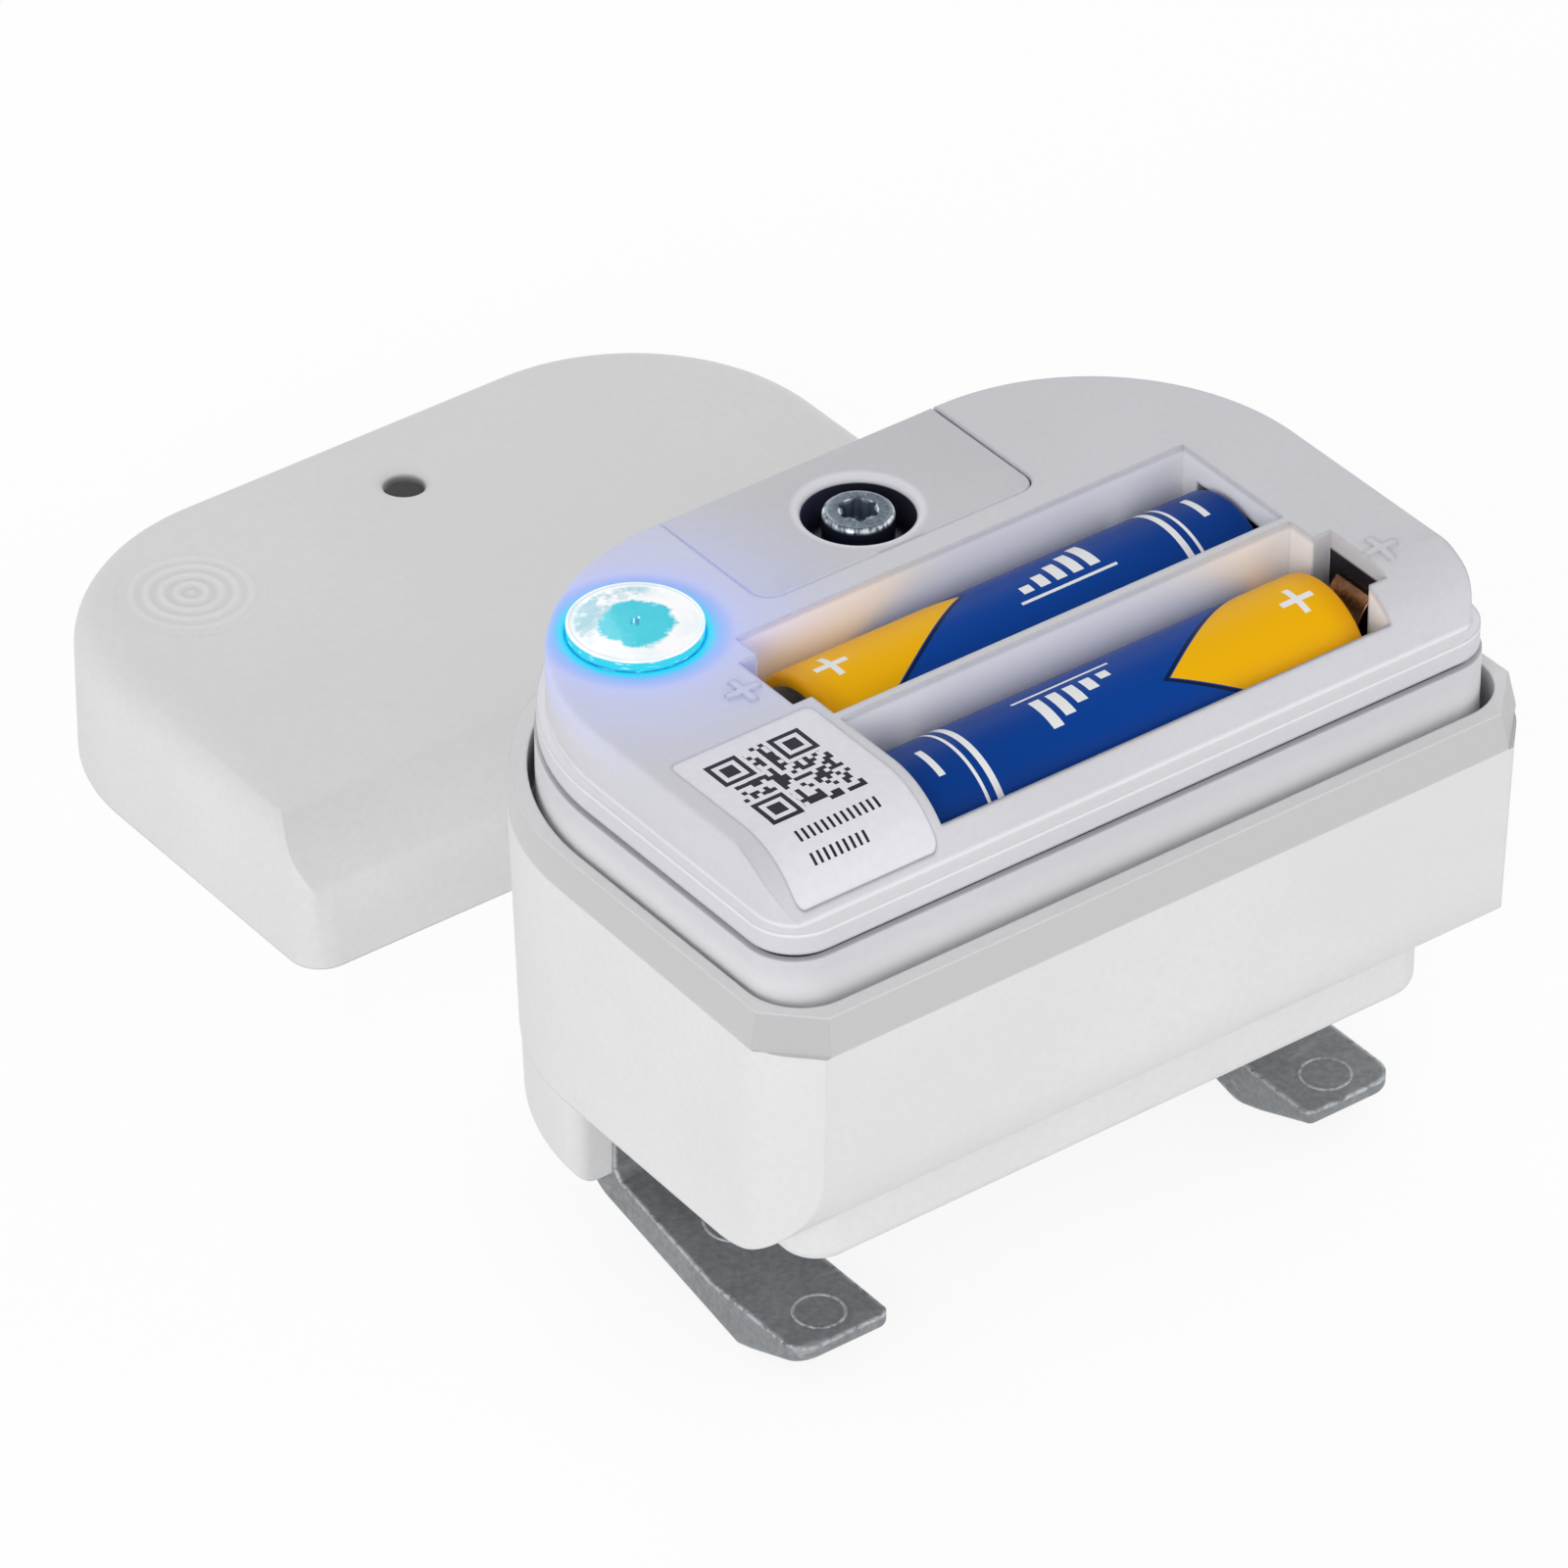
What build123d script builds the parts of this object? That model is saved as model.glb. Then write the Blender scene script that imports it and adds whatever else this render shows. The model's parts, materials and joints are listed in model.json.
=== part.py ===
"""Clamp-on battery-powered sensor unit with its cap taken off.

Millimetres, +Z up.  The origin is on the clamp screw's axis, level with the flat top of the
battery tray.  X runs along the cells, and the front of the unit faces -Y.
"""
from math import atan, degrees, radians, tan
from build123d import *
import os

os.makedirs("parts", exist_ok=True)

# ---------------------------------------------------------------- driving dimensions
# D-shaped plan of the battery tray: flat front, large back corners
tray_half = 40.2
tray_back_narrowing = 0.2  # each side, at the back
tray_front = -42.2
tray_back = 9.5
tray_back_radius = 23.4
tray_front_corner = 4.0
tray_roll_radius = 9.0  # the top rolls down into the front face
tray_wall = 1.6
tray_top_thickness = 2.2
tray_spigot_depth = 2.6
tray_spigot_wall = 1.3

lip_overhang = 0.9
lip_top = -6.2
lip_bottom = -8.4
gasket_thickness = 0.6
gasket_inset = 0.5

# inner housing
housing_overhang = 1.1
housing_wall = 1.6
housing_floor_thickness = 1.5
housing_shelf_thickness = 1.4
spigot_clearance = 0.2

# casing
casing_rim_top = -13.0
casing_gap_side = 0.7
casing_gap_front = 1.6
casing_side_wall = 2.0
casing_front_wall = 2.3
casing_back_wall = 1.0
casing_back_narrowing = 1.3
casing_back_radius = 24.7
casing_facet = 4.6
casing_draft = 1.8
bevel_inset = 0.8
bevel_height = 3.8
casing_bottom = -41.5
casing_floor_thickness = 3.0
casing_roll_radius = 11.0  # the front face into the bottom
casing_corner_radius = 7.0  # softens the facets below the band
skirt_bottom = -51.5
skirt_front = -12.8
skirt_corner_radius = 2.0
skirt_step = 0.15  # the skirt stands this far in from the body above
skirt_edge_radius = 3.0

# clamp well in the back of the casing
well_wall = 2.3
well_front = -10.3
well_ceiling_thickness = 2.2

# cells: two AA cells side by side
cell_radius = 7.15
cell_length = 50.5
cell_depth = 8.8  # axis below the tray top
cell_wrap = 0.15
nub_radius = 2.7
nub_height = 1.3
rear_cell_y = -17.0
cell_clearance = 0.2
bay_divider = 1.0
cell_end_gap = 0.5
bay_centre_x = 4.5
bay_wall = 1.2
nub_gap = 0.6  # from the end of a bay to the cell's terminal
contact_notch = 2.1
contact_notch_width = 8.1
spring_pocket = 3.4
spring_pocket_width = 10.4
contact_thickness = 0.4
contact_width = 5.0
spring_wire_radius = 0.3
spring_radius = 3.6

# clamp screw and what it passes through
screw_radius = 2.0
screw_length = 45.0
screw_head_radius = 3.4
screw_head_height = 4.0
screw_clearance = 0.3
access_hole_radius = 5.4
access_rim = 0.7
washer_radius = 4.5
washer_thickness = 0.8
washer_gap = 0.05
plate_half_width = 15.8
plate_front = -6.65
plate_thickness = 2.0
plate_corner = 2.0
plate_clearance = 0.15
hub_radius = 6.4
hub_bottom = -10.0
ring_radius = 3.8
ring_thickness = 0.6

# yoke and jaws
yoke_height = 7.0
yoke_rest_gap = 6.2  # yoke below the retaining ring at rest
yoke_centre_radius = 7.0
nut_across_flats = 7.0
nut_height = 3.2
leg_width = 6.3  # of the casing, outside each jaw
jaw_width = 10.6
jaw_tip = -37.5
jaw_thickness = 5.0
jaw_tip_thickness = 1.5
jaw_chin_depth = 7.5  # back from the tip
jaw_chin_flat = 9.5
jaw_chin_rise = 0.6
jaw_ramp_start = -24.0
jaw_ramp_rise = 3.2
stem_front = -9.4
stem_back = -4.2
running_gap = 0.3
leg_gap = 2.5

# pipe saddle
saddle_end_gap = 1.3
saddle_front = -40.5
saddle_back = -17.0
saddle_bottom = -46.7
saddle_corner_radius = 4.0
saddle_edge_radius = 1.6
saddle_fit_gap = 0.1
pipe_radius = 7.5
pipe_y = -28.5
groove_top = -42.8
pipe_slack = 0.4
transducer_radius = 5.0
transducer_spacing = 40.0
transducer_gap = 0.1

# status button
button_x = -27.9
button_y = -3.4
button_radius = 6.33
button_gap = 0.15
button_proud = 1.2
button_flange = 0.8
button_flange_radius = 7.1
button_travel = 0.5
button_stem_radius = 2.2
switch_size = 4.5
switch_height = 3.3
plunger_height = 0.3
plunger_radius = 1.2
plunger_gap = 0.1  # left between stem and plunger when the button is fully pressed
board_thickness = 1.2
button_spring_radius = 3.6
button_spring_wire = 0.2

# label
label_left = -38.0
label_right = -22.3
label_back = -22.0
label_front = -41.2
label_recess = 0.3
label_thickness = 0.2
mark_size = 3.6
mark_bar = 0.8
mark_height = 0.25

# main board
main_board_top = -21.0
board_side_gap = 3.7
main_board_front = -39.5
main_board_back = -15.0
housing_screw_setback = 5.5
post_radius = 2.6
small_screw_radius = 1.25
small_head_radius = 2.2
small_thread_gap = 0.02
small_head_height = 1.4

# cap, taken off and stood on the surface behind the unit
cap_x = 9.3
cap_y = 86.2
cap_height = 15.7
cap_wall = 1.6
cap_back_step = 0.2  # the cap is this much narrower than the casing's back
cap_side_step = 1.0
cap_front_step = 2.6
cap_back_cut = 0.6  # the cap is this much shorter at the back
cap_back_tighter = 1.4  # and its back corners this much tighter
cap_roll_radius = 11.0
cap_edge_radius = 4.2
cap_front_corner = 3.5
cap_hole_radius = 2.0

# ---------------------------------------------------------------- derived places
far = 200.0
tray_half_back = tray_half - tray_back_narrowing
main_board_half = tray_half + housing_overhang - housing_wall - board_side_gap
bore_grow = housing_overhang + casing_gap_side
bore_front = tray_front - housing_overhang - casing_gap_front
casing_half = tray_half + bore_grow + casing_side_wall
casing_half_back = casing_half - casing_back_narrowing
casing_front = bore_front - casing_front_wall
casing_back = tray_back + bore_grow + casing_back_wall
bay_length = nub_gap + cell_length + cell_end_gap
bay_half_width = cell_radius + cell_clearance
front_cell_y = rear_cell_y - 2 * bay_half_width - bay_divider
bay_left = bay_centre_x - bay_length / 2
bay_right = bay_centre_x + bay_length / 2
bay_floor = -cell_depth - bay_half_width - bay_wall
housing_top = lip_bottom - gasket_thickness
shelf_top = bay_floor - 0.25
shelf_bottom = shelf_top - housing_shelf_thickness
ceiling_bottom = shelf_bottom - well_ceiling_thickness
casing_floor_top = casing_bottom + casing_floor_thickness
housing_floor_top = casing_floor_top + housing_floor_thickness
partition_front = well_front - 1.5
housing_rear = partition_front - 0.2
screw_seat = -screw_head_height - washer_gap - washer_thickness
ring_top = ceiling_bottom - 0.1
yoke_top = ring_top - ring_thickness - yoke_rest_gap
yoke_bottom = yoke_top - yoke_height
jaw_outer = casing_half - leg_width - leg_gap
jaw_inner = jaw_outer - jaw_width
jaw_top = groove_top - 2 * pipe_radius - pipe_slack
jaw_bottom = jaw_top - jaw_thickness
well_half = jaw_outer + leg_gap
saddle_half = well_half - saddle_end_gap
cap_half = casing_half - cap_side_step
cap_half_back = casing_half_back - cap_back_step
cap_front = casing_front + cap_front_step
cap_back = casing_back - cap_back_cut
cap_back_radius = casing_back_radius - cap_back_tighter
cap_base = jaw_bottom
cap_top = cap_base + cap_height


def d_plan(half, half_back, front, back, back_radius, corner, faceted=False, x=0.0, y=0.0):
    """D-shaped sketch: straight front, big back corners, and front corners cut or rounded."""
    with BuildSketch(mode=Mode.PRIVATE) as plan:
        with BuildLine():
            Polyline(
                (x - half, y + front),
                (x + half, y + front),
                (x + half_back, y + back),
                (x - half_back, y + back),
                close=True,
            )
        make_face()
        fillet(plan.vertices().group_by(Axis.Y)[-1], back_radius)
        front_corners = plan.vertices().group_by(Axis.Y)[0]
        if faceted:
            chamfer(front_corners, corner)
        else:
            fillet(front_corners, corner)
    return plan.sketch


def tray_plan(grow=0.0):
    """The tray's plan, grown outwards by the same distance all round."""
    return d_plan(
        tray_half + grow,
        tray_half_back + grow,
        tray_front - grow,
        tray_back + grow,
        tray_back_radius + grow,
        tray_front_corner + grow,
    )


def roof_side(front, top, radius, back, bottom):
    """Side profile, seen along X, whose top rolls down into the front face."""
    with BuildSketch(mode=Mode.PRIVATE) as side:
        with BuildLine():
            Polyline((front, bottom), (front, top), (back, top), (back, bottom), close=True)
        make_face()
        fillet(side.vertices().group_by(Axis.Y)[-1].sort_by(Axis.X)[0], radius)
    return side.sketch


def tray_roof(inset):
    return roof_side(tray_front + inset, -inset, tray_roll_radius - inset, far / 2, shelf_bottom)


side_plane = Plane.YZ.offset(-far / 2)  # profiles drawn here run the full width along X


def finish(part, name):
    """Label a finished piece and write it."""
    part.label = name
    export_step(part, f"parts/{name}.step")


# ---------------------------------------------------------------- casing shell
bevel_bottom = casing_rim_top - bevel_height
bevel_angle = degrees(atan(bevel_inset / bevel_height))
draft_slope = tan(radians(casing_draft))


def casing_front_at(z):
    return casing_front + draft_slope * (bevel_bottom - z)


def casing_half_at(y):
    """Half width at the bevel's foot, which narrows towards the back."""
    return casing_half - casing_back_narrowing * (y - casing_front) / (casing_back - casing_front)


# centre of the roll from the front face into the bottom
roll_y = casing_front_at(casing_bottom) + casing_roll_radius * tan(radians(45 - casing_draft / 2))
roll_z = casing_bottom + casing_roll_radius


with BuildPart() as casing_band:
    with BuildSketch(Plane.XY.offset(casing_rim_top)):
        add(
            d_plan(
                casing_half - bevel_inset,
                casing_half_back,
                casing_front + bevel_inset,
                casing_back,
                casing_back_radius,
                casing_facet,
                faceted=True,
            )
        )
    extrude(amount=-bevel_height, taper=-bevel_angle)

casing_plan = d_plan(
    casing_half,
    casing_half_back,
    casing_front,
    casing_back,
    casing_back_radius,
    casing_facet,
    faceted=True,
)
with BuildPart() as casing_walls:
    add(casing_band.part)
    with BuildSketch(Plane.XY.offset(bevel_bottom)):
        add(casing_plan)
    extrude(amount=bevel_height, mode=Mode.INTERSECT)
    with BuildSketch(Plane.XY.offset(bevel_bottom)) as body_plan:
        add(casing_plan)
        facet_ends = body_plan.vertices().group_by(Axis.Y)[1]
        fillet(facet_ends, casing_corner_radius)
    extrude(amount=casing_bottom - bevel_bottom, taper=casing_draft)
    # the front rolls under into the flat bottom
    with BuildSketch(side_plane) as casing_side:
        with BuildLine():
            Polyline(
                (casing_front_at(casing_rim_top), casing_rim_top),
                (far / 2, casing_rim_top),
                (far / 2, casing_bottom),
                (casing_front_at(casing_bottom), casing_bottom),
                close=True,
            )
        make_face()
        bottom_front = casing_side.vertices().sort_by_distance(
            (casing_front_at(casing_bottom), casing_bottom)
        )[0]
        fillet(bottom_front, casing_roll_radius)
    extrude(amount=far, mode=Mode.INTERSECT)

# the back of the casing carries on down as a skirt around the clamp
skirt_inset = draft_slope * (bevel_bottom - casing_bottom) + skirt_step
leg_half = casing_half_at(skirt_front + skirt_corner_radius) - skirt_inset - 0.02
with BuildPart() as casing_skirt:
    with BuildSketch(Plane.XY.offset(casing_bottom)):
        add(
            d_plan(
                casing_half - skirt_inset,
                casing_half_back - skirt_inset,
                casing_front + skirt_inset,
                casing_back - skirt_inset,
                casing_back_radius - skirt_inset,
                casing_facet,
            )
        )
    extrude(amount=skirt_bottom - casing_bottom, taper=casing_draft)
    fillet(casing_skirt.faces().sort_by(Axis.Z)[0].edges(), skirt_edge_radius)
    # two rounded legs in front, one beside each jaw
    with BuildSketch(Plane.XY.offset(casing_bottom)):
        with Locations((0, skirt_front)):
            RectangleRounded(
                2 * leg_half,
                far,
                skirt_corner_radius,
                align=(Align.CENTER, Align.MIN),
            )
    extrude(amount=skirt_bottom - casing_bottom, taper=casing_draft, mode=Mode.INTERSECT)

bore_slope_height = 5.5
bore_slope_run = 4.9
with BuildPart() as casing_bore:
    with BuildSketch(Plane.XY.offset(casing_rim_top)):
        add(
            d_plan(
                tray_half + bore_grow,
                tray_half_back + bore_grow,
                bore_front,
                tray_back + bore_grow,
                tray_back_radius + bore_grow,
                tray_front_corner + bore_grow,
            )
        )
    extrude(amount=casing_floor_top - casing_rim_top)
    # deep in front of the clamp well, shallow above it
    with BuildSketch(side_plane):
        with BuildLine():
            Polyline(
                (bore_front, casing_rim_top),
                (bore_front, casing_floor_top + bore_slope_height),
                (bore_front + bore_slope_run, casing_floor_top),
                (partition_front, casing_floor_top),
                (partition_front, shelf_bottom),
                (far / 2, shelf_bottom),
                (far / 2, casing_rim_top),
                close=True,
            )
        make_face()
    extrude(amount=far, mode=Mode.INTERSECT)

# the clamp well, open downwards, with the jaws' way out to the front
well_inset = skirt_inset + well_wall
with BuildPart() as clamp_well:
    with BuildSketch(Plane.XY.offset(ceiling_bottom)):
        add(
            d_plan(
                casing_half_back - well_inset,
                casing_half_back - well_inset,
                casing_front,
                casing_back - well_inset,
                casing_back_radius - well_inset,
                casing_facet,
            )
        )
        with Locations((0, well_front)):
            Rectangle(2 * well_half, far, align=(Align.CENTER, Align.MIN), mode=Mode.INTERSECT)
    extrude(amount=skirt_bottom - ceiling_bottom)
    with BuildSketch(Plane.XY.offset(casing_bottom)):
        with Locations((0, skirt_front)):
            Rectangle(2 * well_half, well_front - skirt_front + 1, align=(Align.CENTER, Align.MIN))
    extrude(amount=skirt_bottom - casing_bottom)

saddle_screw_front = saddle_front + 2.7
saddle_screw_back = saddle_back - 2.5
saddle_screw_x = saddle_half - 6.0
saddle_spots = [
    (side * saddle_screw_x, y) for side in (-1, 1) for y in (saddle_screw_front, saddle_screw_back)
]
housing_screw_x = main_board_half - 0.5
housing_spots = [
    (side * housing_screw_x, y)
    for side in (-1, 1)
    for y in (main_board_front + housing_screw_setback, main_board_back - housing_screw_setback + 0.5)
]
transducer_bore = transducer_radius + transducer_gap
small_hole = small_screw_radius + 0.1
small_counterbore = small_head_radius + 0.2
small_counterbore_depth = small_head_height + 0.1

with BuildPart() as casing_shell:
    add(casing_walls.part)
    add(casing_skirt.part)
    add(casing_bore.part, mode=Mode.SUBTRACT)
    add(clamp_well.part, mode=Mode.SUBTRACT)
    with Locations((0, 0, shelf_bottom)):
        Cylinder(
            screw_radius + screw_clearance,
            well_ceiling_thickness,
            align=(Align.CENTER, Align.CENTER, Align.MAX),
            mode=Mode.SUBTRACT,
        )
    with Locations(*[(side * transducer_spacing / 2, pipe_y, casing_floor_top) for side in (-1, 1)]):
        Cylinder(
            transducer_bore,
            casing_floor_thickness,
            align=(Align.CENTER, Align.CENTER, Align.MAX),
            mode=Mode.SUBTRACT,
        )
    with Locations(*[(x, y, casing_floor_top) for x, y in saddle_spots]):
        CounterBoreHole(small_hole, small_counterbore, small_counterbore_depth, casing_floor_thickness)
    with Locations(*[(x, y, casing_floor_top) for x, y in housing_spots]):
        Hole(small_screw_radius + small_thread_gap, casing_floor_thickness - 0.6)
finish(casing_shell.part, "casing_shell")

# ---------------------------------------------------------------- pipe saddle
groove_centre_z = groove_top - pipe_radius
saddle_screw_reach = 4.2
with BuildPart() as pipe_saddle:
    with BuildSketch(Plane.XY.offset(roll_z)):
        with Locations((0, (saddle_front + saddle_back) / 2)):
            RectangleRounded(2 * saddle_half, saddle_back - saddle_front, saddle_corner_radius)
    extrude(amount=saddle_bottom - roll_z)
    fillet(pipe_saddle.faces().sort_by(Axis.Z)[0].edges(), saddle_edge_radius)
    # flat against the casing's bottom, and curved up in front along its roll
    with BuildSketch(side_plane):
        with Locations((roll_y, casing_bottom)):
            Rectangle(far, far, align=(Align.MIN, Align.MIN))
        with Locations((roll_y, roll_z)):
            Circle(casing_roll_radius + saddle_fit_gap)
    extrude(amount=far, mode=Mode.SUBTRACT)
    with BuildSketch(side_plane):
        with Locations((pipe_y, groove_centre_z)):
            Circle(pipe_radius)
    extrude(amount=far, mode=Mode.SUBTRACT)
    with Locations(*[(side * transducer_spacing / 2, pipe_y, casing_bottom) for side in (-1, 1)]):
        Hole(transducer_bore, casing_bottom - saddle_bottom)
    with Locations(*[(x, y, casing_bottom) for x, y in saddle_spots]):
        Hole(small_screw_radius + small_thread_gap, saddle_screw_reach - 0.6)
finish(pipe_saddle.part, "pipe_saddle")

transducer_bottom = casing_bottom - 0.1
with BuildPart() as transducers:
    with Locations(*[(side * transducer_spacing / 2, pipe_y, transducer_bottom) for side in (-1, 1)]):
        Cylinder(
            transducer_radius,
            casing_floor_top - 0.05 - transducer_bottom,
            align=(Align.CENTER, Align.CENTER, Align.MIN),
        )
finish(transducers.part, "transducers")

with BuildPart() as acoustic_pads:
    with Locations(*[(side * transducer_spacing / 2, pipe_y, transducer_bottom) for side in (-1, 1)]):
        Cylinder(
            transducer_radius,
            transducer_bottom - saddle_bottom,
            align=(Align.CENTER, Align.CENTER, Align.MAX),
        )
    with BuildSketch(side_plane):
        with Locations((pipe_y, groove_centre_z)):
            Circle(pipe_radius)
    extrude(amount=far, mode=Mode.SUBTRACT)
finish(acoustic_pads.part, "acoustic_pads")


def small_screws(spots, head_base, length):
    """Pan-head screws standing head up, one solid at each spot."""
    with BuildPart(mode=Mode.PRIVATE) as screws:
        for x, y in spots:
            with BuildSketch(Plane.XY.offset(head_base)):
                with Locations((x, y)):
                    Circle(small_head_radius)
            extrude(amount=small_head_height)
            with BuildSketch(Plane.XY.offset(head_base)):
                with Locations((x, y)):
                    Circle(small_screw_radius)
            extrude(amount=-length)
            with BuildSketch(Plane.XY.offset(head_base + small_head_height)):
                with Locations((x, y)):
                    Rectangle(0.5, 2.4)
                    Rectangle(2.4, 0.5)
            extrude(amount=-small_head_height / 2, mode=Mode.SUBTRACT)
    return screws.part


finish(
    small_screws(saddle_spots, casing_floor_top - small_counterbore_depth, saddle_screw_reach),
    "saddle_screws",
)

# ---------------------------------------------------------------- inner housing
housing_front = tray_front - housing_overhang
housing_slope_height = 4.3
housing_slope_run = 4.1
boss_radius = 2.6
tray_screw_x = 12.2
tray_screw_y = 2.6
tray_screw_spots = [(-tray_screw_x, tray_screw_y), (tray_screw_x, tray_screw_y)]
tray_slab_bottom = -plate_thickness - 3.0
board_spots = [
    (side * (main_board_half - 5.5), y)
    for side in (-1, 1)
    for y in (main_board_front + post_radius + 0.4, main_board_back - post_radius - 0.4)
]
main_board_bottom = main_board_top - board_thickness
status_board_top = -13.6
status_board_bottom = status_board_top - board_thickness
status_board_length = 11.0
status_board_width = 9.2
status_board_centre = (-28.1, -3.6)

with BuildPart() as housing_hollow:
    with BuildSketch(Plane.XY.offset(housing_top)):
        add(tray_plan(housing_overhang - housing_wall))
    extrude(amount=housing_floor_top - housing_top)
    with BuildSketch(side_plane):
        with BuildLine():
            Polyline(
                (housing_front + housing_wall, housing_top),
                (housing_front + housing_wall, housing_floor_top + housing_slope_height),
                (housing_front + housing_wall + housing_slope_run, housing_floor_top),
                (housing_rear - housing_wall, housing_floor_top),
                (housing_rear - housing_wall, shelf_top),
                (far / 2, shelf_top),
                (far / 2, housing_top),
                close=True,
            )
        make_face()
    extrude(amount=far, mode=Mode.INTERSECT)

with BuildPart() as inner_housing:
    with BuildSketch(Plane.XY.offset(housing_top)):
        add(tray_plan(housing_overhang))
    extrude(amount=casing_floor_top - housing_top)
    with BuildSketch(side_plane):
        with BuildLine():
            Polyline(
                (housing_front, housing_top),
                (housing_front, casing_floor_top + housing_slope_height),
                (housing_front + housing_slope_run, casing_floor_top),
                (housing_rear, casing_floor_top),
                (housing_rear, shelf_bottom),
                (far / 2, shelf_bottom),
                (far / 2, housing_top),
                close=True,
            )
        make_face()
    extrude(amount=far, mode=Mode.INTERSECT)
    add(housing_hollow.part, mode=Mode.SUBTRACT)
    # bosses under the screw plate's hub and under the tray
    with BuildSketch(Plane.XY.offset(shelf_top)):
        Circle(hub_radius)
    extrude(amount=hub_bottom - shelf_top)
    with BuildSketch(Plane.XY.offset(shelf_top)):
        with Locations(*tray_screw_spots):
            Circle(boss_radius)
    extrude(amount=tray_slab_bottom - shelf_top)
    # pad under the status board
    with BuildSketch(Plane.XY.offset(shelf_top)):
        with Locations(status_board_centre):
            Rectangle(status_board_length - 3, status_board_width - 3)
    extrude(amount=status_board_bottom - shelf_top)
    # posts under the main board
    with BuildSketch(Plane.XY.offset(housing_floor_top)):
        with Locations(*board_spots):
            Circle(post_radius)
    extrude(amount=main_board_bottom - housing_floor_top)
    with Locations((0, 0, hub_bottom)):
        Hole(screw_radius + screw_clearance, hub_bottom - shelf_bottom)
    with Locations(*[(x, y, tray_slab_bottom) for x, y in tray_screw_spots]):
        Hole(small_screw_radius + small_thread_gap, 7.0)
    with Locations(*[(x, y, main_board_bottom) for x, y in board_spots]):
        Hole(small_screw_radius + small_thread_gap, 7.0)
    with Locations(*[(x, y, housing_floor_top) for x, y in housing_spots]):
        Hole(small_hole, housing_floor_thickness)
finish(inner_housing.part, "inner_housing")
finish(small_screws(housing_spots, housing_floor_top, 3.7), "housing_screws")

with BuildPart() as tray_gasket:
    with BuildSketch(Plane.XY.offset(housing_top)):
        add(tray_plan(lip_overhang - gasket_inset))
        add(tray_plan(housing_overhang - housing_wall + 0.1), mode=Mode.SUBTRACT)
    extrude(amount=gasket_thickness)
finish(tray_gasket.part, "tray_gasket")

# ---------------------------------------------------------------- battery tray
pocket_depth_top = 3.0
pocket_bottom = -14.5
marks = [(-25.8, rear_cell_y + 0.2), (34.1, front_cell_y - 1.0)]
recess_half = plate_half_width + plate_clearance
recess_front = plate_front - plate_clearance
slab_margin = 1.2
tray_screw_seat = -plate_thickness - small_counterbore_depth
tray_edge_radius = 0.6
spigot_grow = housing_overhang - housing_wall - spigot_clearance

# (cell axis y, side of the bay that holds the positive contact)
bays = [(rear_cell_y, -1), (front_cell_y, 1)]


def bay_end(side):
    return bay_right if side > 0 else bay_left


def bay_box(y, side, grow, top, bottom):
    """The space of one bay with its contact notch and spring pocket, grown outwards."""
    notch_x = bay_end(side) + side * contact_notch / 2
    pocket_x = bay_end(-side) - side * spring_pocket / 2
    with BuildPart(mode=Mode.PRIVATE) as box:
        with BuildSketch(Plane.XY.offset(top)):
            with Locations((bay_centre_x, y)):
                Rectangle(bay_length + 2 * grow, 2 * (bay_half_width + grow))
            with Locations((notch_x, y)):
                Rectangle(contact_notch + 2 * grow, contact_notch_width + 2 * grow)
            with Locations((pocket_x, y)):
                Rectangle(spring_pocket + 2 * grow, spring_pocket_width + 2 * grow)
        extrude(amount=bottom - top)
    return box.part


with BuildPart() as bay_boxes:
    for bay_y, plus_side in bays:
        add(bay_box(bay_y, plus_side, bay_wall, -tray_top_thickness / 2, bay_floor))
    with BuildSketch(Plane.XY.offset(-tray_top_thickness / 2)):
        with Locations((0, recess_front - slab_margin)):
            Rectangle(
                2 * (recess_half + slab_margin),
                tray_back - tray_wall / 2 - recess_front + slab_margin,
                align=(Align.CENTER, Align.MIN),
            )
    extrude(amount=tray_slab_bottom + tray_top_thickness / 2)
    with BuildSketch(side_plane):
        add(tray_roof(tray_wall / 2))
    extrude(amount=far, mode=Mode.INTERSECT)

with BuildPart() as bay_spaces:
    for bay_y, plus_side in bays:
        notch_x = bay_end(plus_side) + plus_side * contact_notch / 2
        pocket_x = bay_end(-plus_side) - plus_side * spring_pocket / 2
        with BuildSketch(Plane.YZ.offset(bay_left)):
            with Locations((bay_y, -cell_depth)):
                Circle(bay_half_width)
            with Locations((bay_y, 1)):
                Rectangle(2 * bay_half_width, cell_depth + 1, align=(Align.CENTER, Align.MAX))
        extrude(amount=bay_length)
        with BuildSketch(Plane.XY.offset(1)):
            with Locations((notch_x, bay_y)):
                Rectangle(contact_notch, contact_notch_width)
        extrude(amount=pocket_bottom - 1)
        with BuildSketch(Plane.XY.offset(-pocket_depth_top)):
            with Locations((pocket_x, bay_y)):
                Rectangle(spring_pocket, spring_pocket_width)
        extrude(amount=pocket_bottom + pocket_depth_top)

with BuildPart() as label_sheet:
    with BuildSketch():
        with Locations(((label_left + label_right) / 2, (label_back + label_front) / 2)):
            RectangleRounded(label_right - label_left, label_back - label_front, 0.8)
    extrude(amount=lip_top)

with BuildPart() as tray_hollow:
    with BuildSketch():
        add(tray_plan(-tray_wall))
    extrude(amount=lip_bottom)
    with BuildSketch(side_plane):
        add(
            roof_side(
                tray_front + tray_wall,
                -tray_top_thickness,
                tray_roll_radius - tray_wall,
                far / 2,
                shelf_bottom,
            )
        )
    extrude(amount=far, mode=Mode.INTERSECT)

with BuildPart() as raised_marks:
    with BuildSketch(Plane.XY.offset(-1)):
        with Locations(*marks):
            Rectangle(mark_size, mark_bar)
            Rectangle(mark_bar, mark_size)
    extrude(amount=2)
    with BuildSketch(side_plane):
        add(tray_roof(-mark_height))
    extrude(amount=far, mode=Mode.INTERSECT)

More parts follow.
